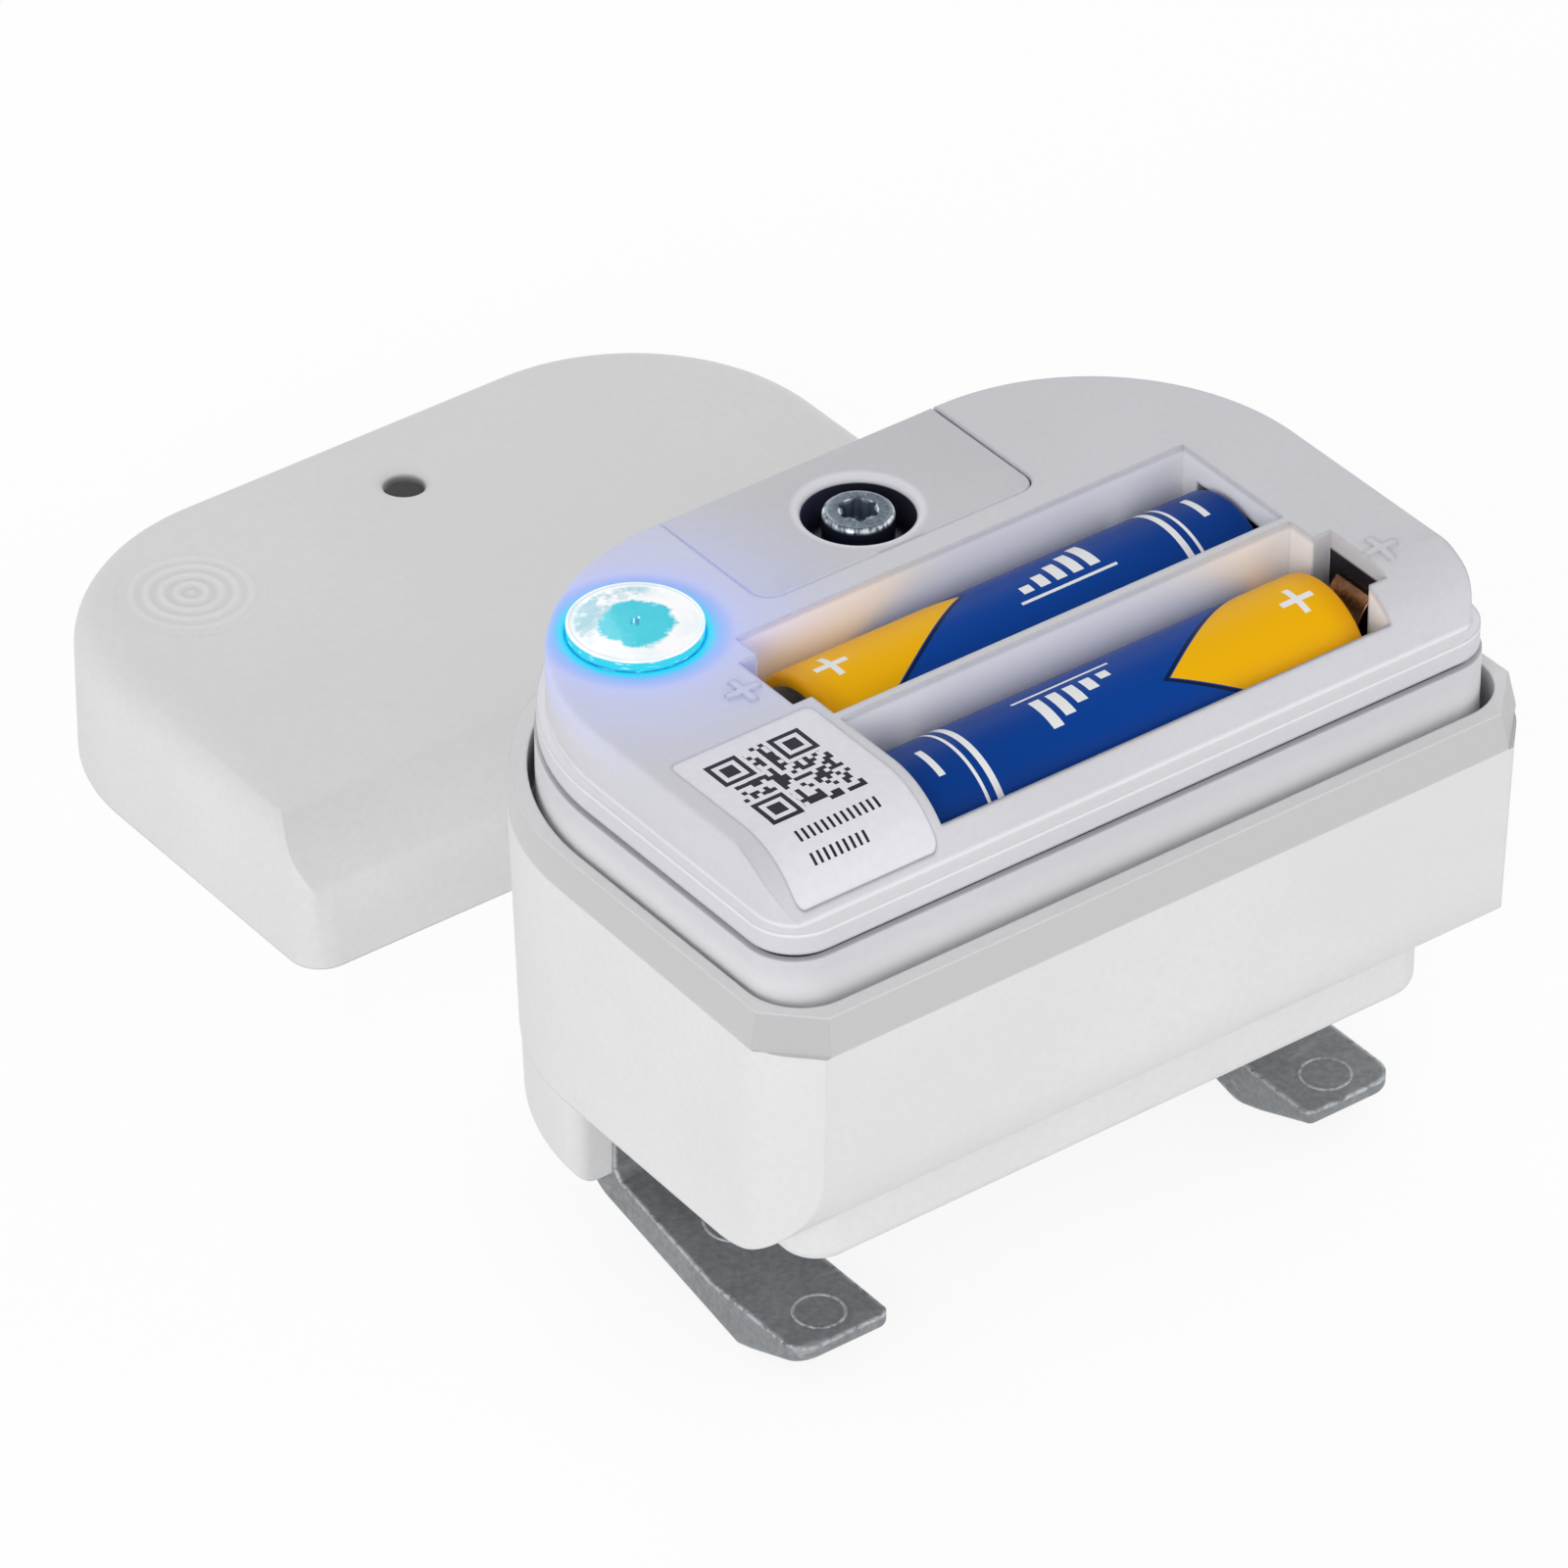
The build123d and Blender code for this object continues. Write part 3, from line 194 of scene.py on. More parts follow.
class Finish(Nodes):
    """One material, written as expressions on values; x, y and z are in millimetres."""

    def __init__(self, name):
        self.material = bpy.data.materials.new(name)
        self.material.use_nodes = True
        super().__init__(self.material.node_tree)
        self.place = self.node("ShaderNodeTexCoord", output="Object")
        self.x, self.y, self.z = (part * 1000 for part in self.split(self.place))

    def noise(self, scale, detail=2.0, stretch=None, rough=0.5, place=None):
        place = place or self.place
        if stretch:
            place = self.node("ShaderNodeMapping", {"Vector": place, "Scale": stretch})
        sockets = {"Vector": place, "Scale": scale, "Detail": detail, "Roughness": rough}
        return self.node("ShaderNodeTexNoise", sockets)

    def mix(self, factor, first, second):
        sockets = {0: factor, 6: first, 7: second}
        return self.node("ShaderNodeMix", sockets, {"data_type": "RGBA"}, 2)

    def paint(self, base, *coats):
        """Lays coats, each a mask and a colour, over the base."""
        for mask, colour in coats:
            base = self.mix(mask, base, colour)
        return base

    def rounded(self, radius):
        return self.node("ShaderNodeBevel", {"Radius": radius * MM}, {"samples": 6})

    def edges(self, radius, low=0.02, high=0.2):
        """1 close to an edge, from how far its rounded normal leans away."""
        normal = self.node("ShaderNodeNewGeometry", output="Normal")
        sockets = {0: self.rounded(radius), 1: normal}
        lean = self.node("ShaderNodeVectorMath", sockets, {"operation": "DOT_PRODUCT"}, "Value")
        return (1 - lean).step(low, high)

    def bump(self, height, depth, normal=None):
        sockets = {"Height": height, "Distance": depth * MM}
        if normal:
            sockets["Normal"] = normal
        return self.node("ShaderNodeBump", sockets)

    def radius(self, x, y):
        """Distance from an upright axis."""
        x, y = self.x - x, self.y - y
        return (x * x + y * y).math("SQRT")

    def done(self, base, rough, normal=None, **more):
        """Principled surface; an argument such as coat_weight feeds Coat Weight."""
        sockets = {"Base Color": base, "Roughness": rough}
        if normal:
            sockets["Normal"] = normal
        for key, value in more.items():
            sockets[key.replace("_", " ").title().replace("Ior", "IOR")] = value
        surface = self.node("ShaderNodeBsdfPrincipled", sockets)
        self.node("ShaderNodeOutputMaterial", {"Surface": surface})
        return self.material


class Pattern(Nodes):
    """A geometry node tree with named sizes that puts copies of a shape on points."""

    def __init__(self, name, **sizes):
        super().__init__(bpy.data.node_groups.new(name, "GeometryNodeTree"))
        self.name, self.names = name, {}
        face = self.tree.interface
        for way in ("INPUT", "OUTPUT"):
            face.new_socket("Geometry", in_out=way, socket_type="NodeSocketGeometry")
        for label, value in sizes.items():
            kind = "NodeSocketInt" if isinstance(value, int) else "NodeSocketFloat"
            item = face.new_socket(label, in_out="INPUT", socket_type=kind)
            item.default_value = value
            self.names[label] = item.identifier
        self.start = self.node("NodeGroupInput", output="Geometry")

    def size(self, label):
        return self.start.output(label)

    def circle(self, resolution, radius):
        sockets = {"Resolution": resolution, "Radius": self.size(radius)}
        return self.node("GeometryNodeCurvePrimitiveCircle", sockets)

    def coil(self, resolution, turns, start, end, height):
        sockets = {"Rotations": turns, "Start Radius": start, "End Radius": end, "Height": height}
        sockets = {key: self.size(label) for key, label in sockets.items()}
        return self.node("GeometryNodeCurveSpiral", {"Resolution": resolution, **sockets})

    def tube(self, path, profile, caps=True):
        sockets = {"Curve": path, "Profile Curve": profile, "Fill Caps": caps}
        return self.node("GeometryNodeCurveToMesh", sockets)

    def turn(self):
        """The rotation stored on each start point."""
        settings = {"data_type": "FLOAT_VECTOR"}
        return self.node("GeometryNodeInputNamedAttribute", {"Name": "turn"}, settings)

    def done(self, shape, material, **sockets):
        """Puts the shape on the start points, as real geometry with one material."""
        sockets = {"Points": self.start, "Instance": shape, **sockets}
        copies = self.node("GeometryNodeInstanceOnPoints", sockets)
        real = self.node("GeometryNodeRealizeInstances", {"Geometry": copies})
        sockets = {"Geometry": real, "Material": material}
        coated = self.node("GeometryNodeSetMaterial", sockets)
        self.node("NodeGroupOutput", {"Geometry": coated})

    def mesh(self, points, turns=(), **sizes):
        """Runs the tree on points in millimetres and returns the plain result."""
        start = bpy.data.meshes.new(self.name + "_start")
        start.from_pydata([tuple(c * MM for c in point) for point in points], [], [])
        if turns:
            layer = start.attributes.new("turn", "FLOAT_VECTOR", "POINT")
            for item, turn in zip(layer.data, turns):
                item.vector = turn
        carrier = new_object(self.name + "_start", start)
        modifier = carrier.modifiers.new(self.name, "NODES")
        modifier.node_group = self.tree
        for label, value in sizes.items():
            modifier[self.names[label]] = value
        graph = bpy.context.evaluated_depsgraph_get()
        mesh = bpy.data.meshes.new_from_object(carrier.evaluated_get(graph))
        mesh.name = self.name
        bpy.data.objects.remove(carrier)
        if not mesh.polygons:
            raise ValueError(f"{self.name} came out empty")
        return mesh


# ---- meshes and pieces
def new_object(name, mesh):
    piece = bpy.data.objects.new(name, mesh)
    bpy.context.scene.collection.objects.link(piece)
    return piece


def slot_of(node):
    for entry in frame["record"]["subparts"]:
        if entry["node"] == node:
            return entry["material_slot"]
    raise ValueError(f"{node} has no slot")


def add_piece(mesh, node, body, replaces=True):
    """A piece with the name of its mesh, on a body; the solid's slot is only looked up."""
    piece = new_object(mesh.name, mesh)
    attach(piece, body)
    slot_of(node)
    if replaces:
        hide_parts(node)
    return piece


def rework(mesh, angle, change):
    """Changes a mesh through a bmesh and shades it smooth up to the given angle."""
    work = bmesh.new()
    work.from_mesh(mesh)
    change(work)
    for face in work.faces:
        face.smooth = True
    for edge in work.edges:
        edge.smooth = len(edge.link_faces) == 2 and edge.calc_face_angle(0.0) < radians(angle)
    work.to_mesh(mesh)
    work.free()


def join(work, distance=1e-7):
    bmesh.ops.remove_doubles(work, verts=work.verts, dist=distance)
    bmesh.ops.recalc_face_normals(work, faces=work.faces)


def plain_copy(node, name, material, angle=28.0):
    """Mesh of a solid with its triangles joined and one material."""
    mesh = frame["nodes"][node].data.copy()
    mesh.name = name
    rework(mesh, angle, lambda work: bmesh.ops.remove_doubles(work, verts=work.verts, dist=2e-6))
    mesh.materials.clear()
    mesh.materials.append(material)
    return mesh


def skin_of(node, name, material, body="housing", angle=28.0):
    """A smooth piece in place of a solid."""
    return add_piece(plain_copy(node, name, material, angle), node, body)


def dress(material, *nodes):
    """Gives solids that keep their own shape their finish."""
    for name in nodes:
        mesh = frame["nodes"][name].data
        mesh.materials.clear()
        mesh.materials.append(material)


def lathe(name, profile, place, turns, material):
    """Turned mesh from (height, radius) pairs; place maps height and a circle to a point."""
    def revolve(work):
        rings = []
        angles = [2 * pi * i / turns for i in range(turns)]
        for height, out in profile:
            spots = [(out * cos(a), out * sin(a)) for a in angles] if out >= 1e-4 else [(0.0, 0.0)]
            rings.append([work.verts.new(place(height, *spot)) for spot in spots])
        for low, high in zip(rings, rings[1:]):
            for i in range(turns):
                j = (i + 1) % turns
                corners = [low[i % len(low)], low[j % len(low)]]
                corners += [high[j % len(high)], high[i % len(high)]]
                face = [v for k, v in enumerate(corners) if v not in corners[:k]]
                if len(face) > 2:
                    work.faces.new(face)
        bmesh.ops.recalc_face_normals(work, faces=work.faces)

    mesh = bpy.data.meshes.new(name)
    rework(mesh, 35, revolve)
    mesh.materials.append(material)
    return mesh


def arc(centre, radius, start, stop, steps=6):
    """(height, radius) points on an arc, with angles in degrees from the height axis."""
    angles = [radians(start + (stop - start) * i / steps) for i in range(steps + 1)]
    return [(centre[0] + radius * cos(a), centre[1] + radius * sin(a)) for a in angles]


# ---- sizes and colours to change
COLOUR = {"subtype": "COLOR", "size": 3, "min": 0, "max": 1}
LENGTH = {"subtype": "DISTANCE", "unit": "LENGTH"}


class SensorSizes(bpy.types.PropertyGroup):
    """Sizes and colours of the unit's visible pieces."""

    casing_colour: bpy.props.FloatVectorProperty(
        name="Casing", description="Casing and cap plastic",
        default=tint(230, 230, 231)[:3], **COLOUR,
    )
    # Painted shade: this colour stands in for the shade on the bevelled band.
    band_painted_shade: bpy.props.FloatVectorProperty(
        name="Band", description="Bevelled band under the casing's rim",
        default=tint(197, 197, 198)[:3], **COLOUR,
    )
    tray_colour: bpy.props.FloatVectorProperty(
        name="Tray", description="Battery tray and inner housing plastic",
        default=tint(214, 214, 220)[:3], **COLOUR,
    )
    wrap_blue: bpy.props.FloatVectorProperty(
        name="Cell blue", description="Body of the cells' wrap",
        default=tint(0, 66, 156)[:3], **COLOUR,
    )
    wrap_yellow: bpy.props.FloatVectorProperty(
        name="Cell yellow", description="Positive end of the cells' wrap",
        default=tint(247, 184, 0)[:3], **COLOUR,
    )
    spring_turns: bpy.props.FloatProperty(
        name="Spring turns", description="Turns of each battery spring", default=3.5, min=2, max=6
    )
    ripple_pitch: bpy.props.FloatProperty(
        name="Ripple pitch", description="Distance between rings on the cap's press spot",
        default=1.5 * MM, min=0.5 * MM, max=4 * MM, **LENGTH,
    )
    ripple_height: bpy.props.FloatProperty(
        name="Ripple height", description="Height of the rings on the cap's press spot",
        default=0.3 * MM, min=0.0, max=0.5 * MM, **LENGTH,
    )
    thread_pitch: bpy.props.FloatProperty(
        name="Thread pitch", description="Pitch of the clamp screw's thread",
        default=0.7 * MM, min=0.3 * MM, max=1.5 * MM, **LENGTH,
    )


def sizes():
    return bpy.context.scene.sensor_sizes


def shade_of(name):
    return (*getattr(sizes(), name), 1.0)


# ---- finishes
def moulded(name, colour, grain=0.012, roughness=0.45, rounding=0.3, shade=None, glow=None):
    """Fine-grained injection moulding; shade and glow change its colour and light by place."""
    finish = Finish(name)
    cloud, speck = finish.noise(28, 3), finish.noise(1400)
    base = finish.mix((cloud * 0.7 + speck * 0.3).step(0.35, 0.7), scaled(colour, 0.93), colour)
    if shade:
        base = shade(finish, base)
    pits = finish.node("ShaderNodeTexVoronoi", {"Vector": finish.place, "Scale": 1900})
    normal = finish.bump(finish.noise(2600) + pits * 0.4, grain, finish.rounded(rounding))
    rough = (cloud - 0.5) * 0.16 + speck * 0.06 + roughness
    lit = {"emission_color": glow(finish), "emission_strength": 1.0} if glow else {}
    return finish.done(base, rough, normal, specular_ior_level=0.42, **lit)


def lens_glow(finish):
    """Blue light that the lit lens throws on what is round it."""
    out = finish.radius(*BUTTON)
    high = finish.z.step(-4.5, -0.6)
    blue = (out.fall(7.0, 12.0) * 0.16 + out.fall(7.5, 25.0) * 0.21) * high
    green = out.fall(6.6, 8.6) * high * 0.18 + blue * 0.12
    return finish.node("ShaderNodeCombineColor", {"Red": 0.0, "Green": green, "Blue": blue})


def metal(name, colour, dark, roughness=0.34, scale=240):
    """Plated or cast metal: mottled tone, fine marks and brighter edges, partly wear and partly
    painted highlight.
    """
    rounding = 0.25
    finish = Finish(name)
    mottle, marks = finish.noise(scale, 5, rough=0.65), finish.noise(scale * 9)
    base = finish.mix((mottle * 0.75 + marks * 0.25).step(0.3, 0.72), dark, colour)
    # brighter edges: partly wear, partly painted highlight
    base = finish.mix(finish.edges(rounding) * 0.6, base, scaled(colour, 1.5, 0.05))
    rough = (mottle - 0.5) * 0.2 + marks * 0.14 + (roughness - 0.07)
    normal = finish.bump(marks * 0.6 + mottle * 0.4, 0.02, finish.rounded(rounding))
    return finish.done(base, rough, normal, metallic=1.0)


def soft_rubber(name, colour):
    """Matt rubber or sintered surface with a little dust."""
    finish = Finish(name)
    dust = finish.noise(700, 4)
    base = finish.mix(dust.step(0.45, 0.8), colour, scaled(colour, 1.8, 0.01))
    normal = finish.bump(dust, 0.03, finish.rounded(0.15))
    return finish.done(base, dust * 0.2 + 0.62, normal)


def dots(finish, pitch):
    """Distance from the middle of each square of a grid, in squares."""
    x, y = (place.cycle(pitch) - 0.5 for place in (finish.x, finish.y))
    return (x * x + y * y).math("SQRT")


def circuit_board(name):
    """Green solder mask over copper tracks, with tinned pads on a coarse grid."""
    tracks_per_mm, pad_pitch = 0.9, 2.54
    finish = Finish(name)
    along, across = ((v * tracks_per_mm).math("FRACT") for v in (finish.x, finish.y))
    ways = finish.vector(along, along), finish.vector(across, across)
    line = finish.split(finish.mix(finish.noise(95, 0).above(0.5), *ways))[0]
    copper = line.within(0.17, 0.5) * finish.noise(60, 0).above(0.46)
    pad = dots(finish, pad_pitch).below(0.2) * finish.noise(40, 0).above(0.52)
    base = finish.paint(
        (0.012, 0.11, 0.045, 1), (copper, (0.03, 0.22, 0.09, 1)), (pad, (0.72, 0.70, 0.64, 1))
    )
    normal = finish.bump(copper * 0.6 + pad, 0.04)
    return finish.done(base, 0.42 - pad * 0.12, normal, metallic=pad, coat_weight=0.3)


def tinned_shield(name):
    """Brushed tin with rows of small dimples."""
    finish = Finish(name)
    smear, brush = finish.noise(260, 4), finish.noise(1500, stretch=(0.08, 1, 1))
    dimple = dots(finish, 2.4).step(0.08, 0.16)
    base = finish.mix(smear * 0.6 + brush * 0.4, (0.42, 0.42, 0.43, 1), (0.78, 0.78, 0.77, 1))
    normal = finish.bump(dimple + brush * 0.1, 0.08, finish.rounded(0.2))
    return finish.done(base, 0.2 + smear * 0.25, normal, metallic=1.0)


def casing_painted_shade(finish, base):
    """Painted shade: the bevelled band under the rim is painted greyer, most of all at the front
    and its right facet.
    """
    band = finish.z.step(-16.95, -16.7) * finish.z.fall(-13.25, -13.02)
    fade = 1 - finish.y.step(-18.0, 14.0) * 0.55
    facing = finish.split(finish.node("ShaderNodeNewGeometry", output="Normal"))
    corner = (abs(facing[0]) - facing[1]).step(1.30, 1.36)
    scuff = finish.noise(160, 5, stretch=(0.25, 0.25, 1.6)).step(0.66, 0.82)
    # the band's grey and its darker facet are painted shade; the scuffs are wear
    return finish.paint(
        base,
        (band * fade, shade_of("band_painted_shade")),
        (corner * band * 0.7, tint(186, 186, 188)),
        (scuff * 0.12, (0.5, 0.5, 0.5, 1)),
    )


def tray_painted_light_and_shade(finish, base):
    """Painted light and shade: the lens's light round it, painted light on the pale bay walls and
    lip, and painted shadow in the dark ends behind the contacts.
    """
    out = finish.radius(*BUTTON)
    top = finish.z.step(-7.5, -0.5)
    bend = (ROLL_START_Y - finish.y).most(0.0).least(8.9)
    below_top = finish.z + ROLL_RADIUS - (ROLL_RADIUS ** 2 - bend * bend).math("SQRT")
    bays = below_top.fall(-0.9, -0.3) * finish.y.within(BAYS_HALF[1], BAYS_CENTRE[1])
    bays = bays * finish.x.within(BAYS_HALF[0], BAYS_CENTRE[0])
    lip = finish.z.step(-6.7, -6.3) * finish.z.fall(-6.1, -5.5)
    front_end = finish.x.between(32.0, 33.4) * finish.z.fall(-2.1, -1.7)
    rear_end = finish.x.between(-24.0, -20.9) * finish.z.fall(-5.2, -3.9)
    dark = front_end * finish.y.within(4.02, FRONT_CELL_Y)
    dark = dark + rear_end * finish.y.within(4.4, REAR_CELL_Y)
    return finish.paint(
        base,
        # painted light from the lens: a blue pool and a cyan ring
        (out.fall(6.8, 9.6) * top * 0.85, (0.20, 0.38, 0.72, 1)),
        (out.fall(6.6, 7.6) * top, (0.03, 0.62, 0.70, 1)),
        # painted light: the bay walls and the lip are made paler than the plastic
        (bays, (0.92, 0.91, 0.93, 1)),
        (lip * 0.8, (0.92, 0.92, 0.95, 1)),
        # painted shadow in the ends behind the contacts
        (dark, (0.014, 0.012, 0.016, 1)),
    )


def housing_painted_light(finish, base):
    """Painted light: paler low down, where the casing's rim closes in on the wall and shade falls.
    """
    return finish.mix(finish.z.fall(-13.8, -9.6) * 0.85, base, (0.92, 0.92, 0.94, 1))


# ---- steps
class SENSOR_OT_stage(bpy.types.Operator):
    """Floor, soft light and the camera"""

    bl_idname = "sensor.stage"
    bl_label = "Stage"

    def execute(self, context):
        scene = context.scene
        scene.view_settings.view_transform = "Standard"
        self.floor()
        self.world(scene)
        self.lamp("key", (-0.9, -0.62, 0.42), 0.5, 3.6)
        self.lamp("fill", (0.9, -0.7, 0.35), 0.8, 1.8)
        self.lamp("back", (0.3, 0.9, 0.7), 0.5, 1.2)
        self.camera(scene)
        return {"FINISHED"}

    def floor(self):
        """White ground that takes a weak shadow."""
        half, z = 4.0, cad_low.z - 0.02 * MM
        corners = [(-half, -half, z), (half, -half, z), (half, half, z), (-half, half, z)]
        mesh = bpy.data.meshes.new("floor")
        mesh.from_pydata(corners, [], [(0, 1, 2, 3)])
        new_object("floor", mesh)
        finish = Finish("floor")
        rays = finish.node("ShaderNodeLightPath")
        direct = rays.output("Is Camera Ray")
        for name in ("Is Glossy Ray", "Is Transmission Ray"):
            direct = direct.most(rays.output(name))
        matt = finish.node("ShaderNodeBsdfDiffuse", {"Color": (0.95, 0.95, 0.95, 1)})
        white = finish.node("ShaderNodeEmission", {"Color": (1, 1, 1, 1), "Strength": 1.03})
        both = finish.node("ShaderNodeMixShader", {0: direct * 0.84, 1: matt, 2: white})
        finish.node("ShaderNodeOutputMaterial", {"Surface": both})
        mesh.materials.append(finish.material)

    def world(self, scene):
        """White all round; the light from it is weaker overhead."""
        world = scene.world = bpy.data.worlds.new("studio")
        world.use_nodes = True
        nodes = Nodes(world.node_tree)
        height = nodes.split(nodes.node("ShaderNodeTexCoord", output="Generated"))[2]
        levels = {"Value": height, "From Min": 0.1, "From Max": 1.0, "To Min": 1.04, "To Max": 0.42}
        white = {"Color": (1, 1, 1, 1)}
        strength = nodes.node("ShaderNodeMapRange", levels)
        sky = nodes.node("ShaderNodeBackground", {**white, "Strength": strength})
        plain = nodes.node("ShaderNodeBackground", white)
        seen = nodes.node("ShaderNodeLightPath", output="Is Camera Ray")
        pick = nodes.node("ShaderNodeMixShader", {0: seen, 1: sky, 2: plain})
        nodes.node("ShaderNodeOutputWorld", {"Surface": pick})

    def lamp(self, name, place, size, watts):
        light = bpy.data.lights.new(name, "AREA")
        light.shape, light.size, light.energy = "SQUARE", size, watts
        lamp = new_object(name, light)
        lamp.location = place
        lamp.rotation_mode = "QUATERNION"
        aim = Vector((0, 0.02, -0.03)) - Vector(place)
        lamp.rotation_quaternion = aim.to_track_quat("-Z", "Y")

    def camera(self, scene):
        """A long lens, left of the front and above, with its frame shifted off the origin."""
        turn, rise = radians(37.02), radians(35.74)
        distance, across, raised = 1.077, 0.00682, 0.02516
        right = Vector((cos(turn), -sin(turn), 0))
        ahead = Vector((sin(turn) * cos(rise), cos(turn) * cos(rise), -sin(rise)))
        up = right.cross(ahead)
        data = bpy.data.cameras.new("camera")
        data.lens, data.sensor_width = 270, 36
        data.clip_start, data.clip_end = 0.05, 20
        scene.camera = new_object("camera", data)
        place = -(right * across + up * raised + ahead * distance)
        turned = Matrix((right, up, -ahead)).transposed().to_4x4()
        scene.camera.matrix_world = Matrix.Translation(place) @ turned


class SENSOR_OT_shells(bpy.types.Operator):
    """Casing, saddle, inner housing and gasket"""

    bl_idname = "sensor.shells"
    bl_label = "Casing and housing"

    def execute(self, context):
        white, grey = shade_of("casing_colour"), shade_of("tray_colour")
        casing = moulded("casing_plastic", white, rounding=0.35, shade=casing_painted_shade)
        skin_of("casing_shell", "casing_skin", casing, angle=40)
        saddle = moulded("saddle_plastic", white, 0.016, 0.5)
        skin_of("pipe_saddle", "saddle_skin", saddle)
        inner = moulded("housing_plastic", grey, 0.008, 0.4, shade=housing_painted_light)
        skin_of("inner_housing", "housing_skin", inner)
        rubber = soft_rubber("gasket_rubber", (0.018, 0.018, 0.02, 1))
        skin_of("tray_gasket", "gasket_skin", rubber)
        pad = soft_rubber("coupling_pad", (0.05, 0.052, 0.055, 1))
        skin_of("acoustic_pads", "pad_skin", pad)
        return {"FINISHED"}


class SENSOR_OT_tray(bpy.types.Operator):
    """Battery tray and the screw plate let into it"""

    bl_idname = "sensor.tray"
    bl_label = "Battery tray"

    def execute(self, context):
        grey = shade_of("tray_colour")
        top = moulded("tray_plastic", grey, 0.014, 0.42, 0.5, tray_painted_light_and_shade, lens_glow)
        skin_of("battery_tray", "tray_skin", top, angle=30)
        darker = scaled(grey, 0.92)
        plate = moulded("plate_plastic", darker, 0.014, 0.4, shade=self.shade, glow=lens_glow)
        piece = skin_of("screw_plate", "plate_skin", plate, angle=30)
        rework(piece.data, 35, self.soften)
        return {"FINISHED"}

    def soften(self, work):
        """Rounds the sharp outline of the plate's top."""
        top = max(v.co.z for v in work.verts) - 0.01 * MM
        bmesh.ops.dissolve_limit(work, angle_limit=radians(0.5), verts=work.verts, edges=work.edges)
        rim = [e for e in work.edges if all(v.co.z > top for v in e.verts)]
        sharp = [e for e in rim if len(e.link_faces) == 2 and e.calc_face_angle(0.0) > radians(60)]
        bmesh.ops.bevel(work, geom=sharp, offset=0.55 * MM, segments=4, profile=0.5, affect="EDGES")
        bmesh.ops.triangulate(work, faces=work.faces)
        # the bevel's faces come in another order on each run
        work.verts.index_update()
        count = len(work.verts)
        work.faces.sort(
            key=lambda face: sum(v.index * count ** k for k, v in enumerate(face.verts))
        )

    def shade(self, finish, base):
        """Painted highlights on the rounded rim and round the hole, painted shadow in the groove
        round the plate, and blue-black painted shade in the well round the screw, lighter towards
        the front left.
        """
        out = finish.radius(0, 0)
        rim = finish.z.fall(-0.3, -0.02) * out.above(7.0)
        groove = finish.z.fall(-0.52, -0.34) * out.above(7.0) * finish.y.below(8.9)
        painted_well_shade = out.fall(5.42, 5.6) * finish.z.fall(-0.85, -0.6)
        side = (finish.x * -0.6 - finish.y * 0.4).step(-3.5, 4.5)
        tone = finish.mix(side, (0.004, 0.004, 0.022, 1), (0.07, 0.09, 0.22, 1))
        return finish.paint(
            base,
            # painted highlights on the rim and round the hole, painted shadow in the groove,
            # painted shade in the well
            (rim, (0.88, 0.88, 0.93, 1)),
            (groove, (0.07, 0.07, 0.14, 1)),
            (out.fall(5.9, 6.6) * 0.6, (0.86, 0.85, 0.92, 1)),
            (painted_well_shade * 0.98, tone),
        )


class SENSOR_OT_label(bpy.types.Operator):
    """Printed film with a plain dot field and two rows of ticks"""

    bl_idname = "sensor.label"
    bl_label = "Label"

    def execute(self, context):
        finish = Finish("label_film")
        # distance down the film from its back edge, along the roll of the front
        bend = ((ROLL_START_Y - finish.y) / ROLL_RADIUS).most(0.0).least(0.999)
        along = FILM_BACK_Y - finish.y.most(ROLL_START_Y) + bend.math("ARCSINE") * ROLL_RADIUS
        across = finish.x - FILM_LEFT_X
        ink = self.field(finish, across - 2.3, along - 2.0, 0.5, 21)
        margin, pitch = 3.4, 0.72
        for start, count in ((13.9, 13), (16.4, 9)):
            row = along.within(0.62, start + 0.7)
            stroke = (across - margin).cycle(pitch).below(0.42)
            ink = ink.most(row * stroke * (across - margin).between(0.0, count * pitch))
        fibre = finish.noise(900, 3)
        paper = finish.mix(fibre.step(0.3, 0.7), tint(229, 228, 234), tint(233, 232, 238))
        ink = ink * (fibre.step(0.1, 0.3) * 0.06 + 0.93)
        base = finish.mix(ink, paper, (0.005, 0.005, 0.016, 1))
        normal = finish.bump(fibre * 0.4 + ink * 0.5, 0.006, finish.rounded(0.1))
        # painted light: the lens's blue light is laid on the film as a glow
        film = finish.done(
            base, 0.42 + ink * 0.1, normal, specular_ior_level=0.25,
            emission_color=lens_glow(finish), emission_strength=0.5,
        )
        skin_of("identification_label", "label_skin", film)
        return {"FINISHED"}

    def field(self, finish, u, v, cell, count):
        """Random filled cells, with a ringed square at three corners."""
        size = cell * count
        inside = u.above(0.0) * u.below(size) * v.above(0.0) * v.below(size)
        place = finish.vector((u / cell).math("FLOOR"), (v / cell).math("FLOOR"), 4.0)
        settings = {"noise_dimensions": "3D"}
        chance = finish.node("ShaderNodeTexWhiteNoise", {"Vector": place}, settings)
        ink = chance.above(0.52)
        near, far = 3.5 * cell, size - 3.5 * cell
        for cu, cv in ((near, near), (far, near), (near, far)):
            out = abs(u - cu).most(abs(v - cv)) / cell
            mark = out.below(1.5).most(out.above(2.5) * out.below(3.5))
            ink = ink * (1 - out.below(4.4)) + mark * out.below(3.5)
        return ink * inside


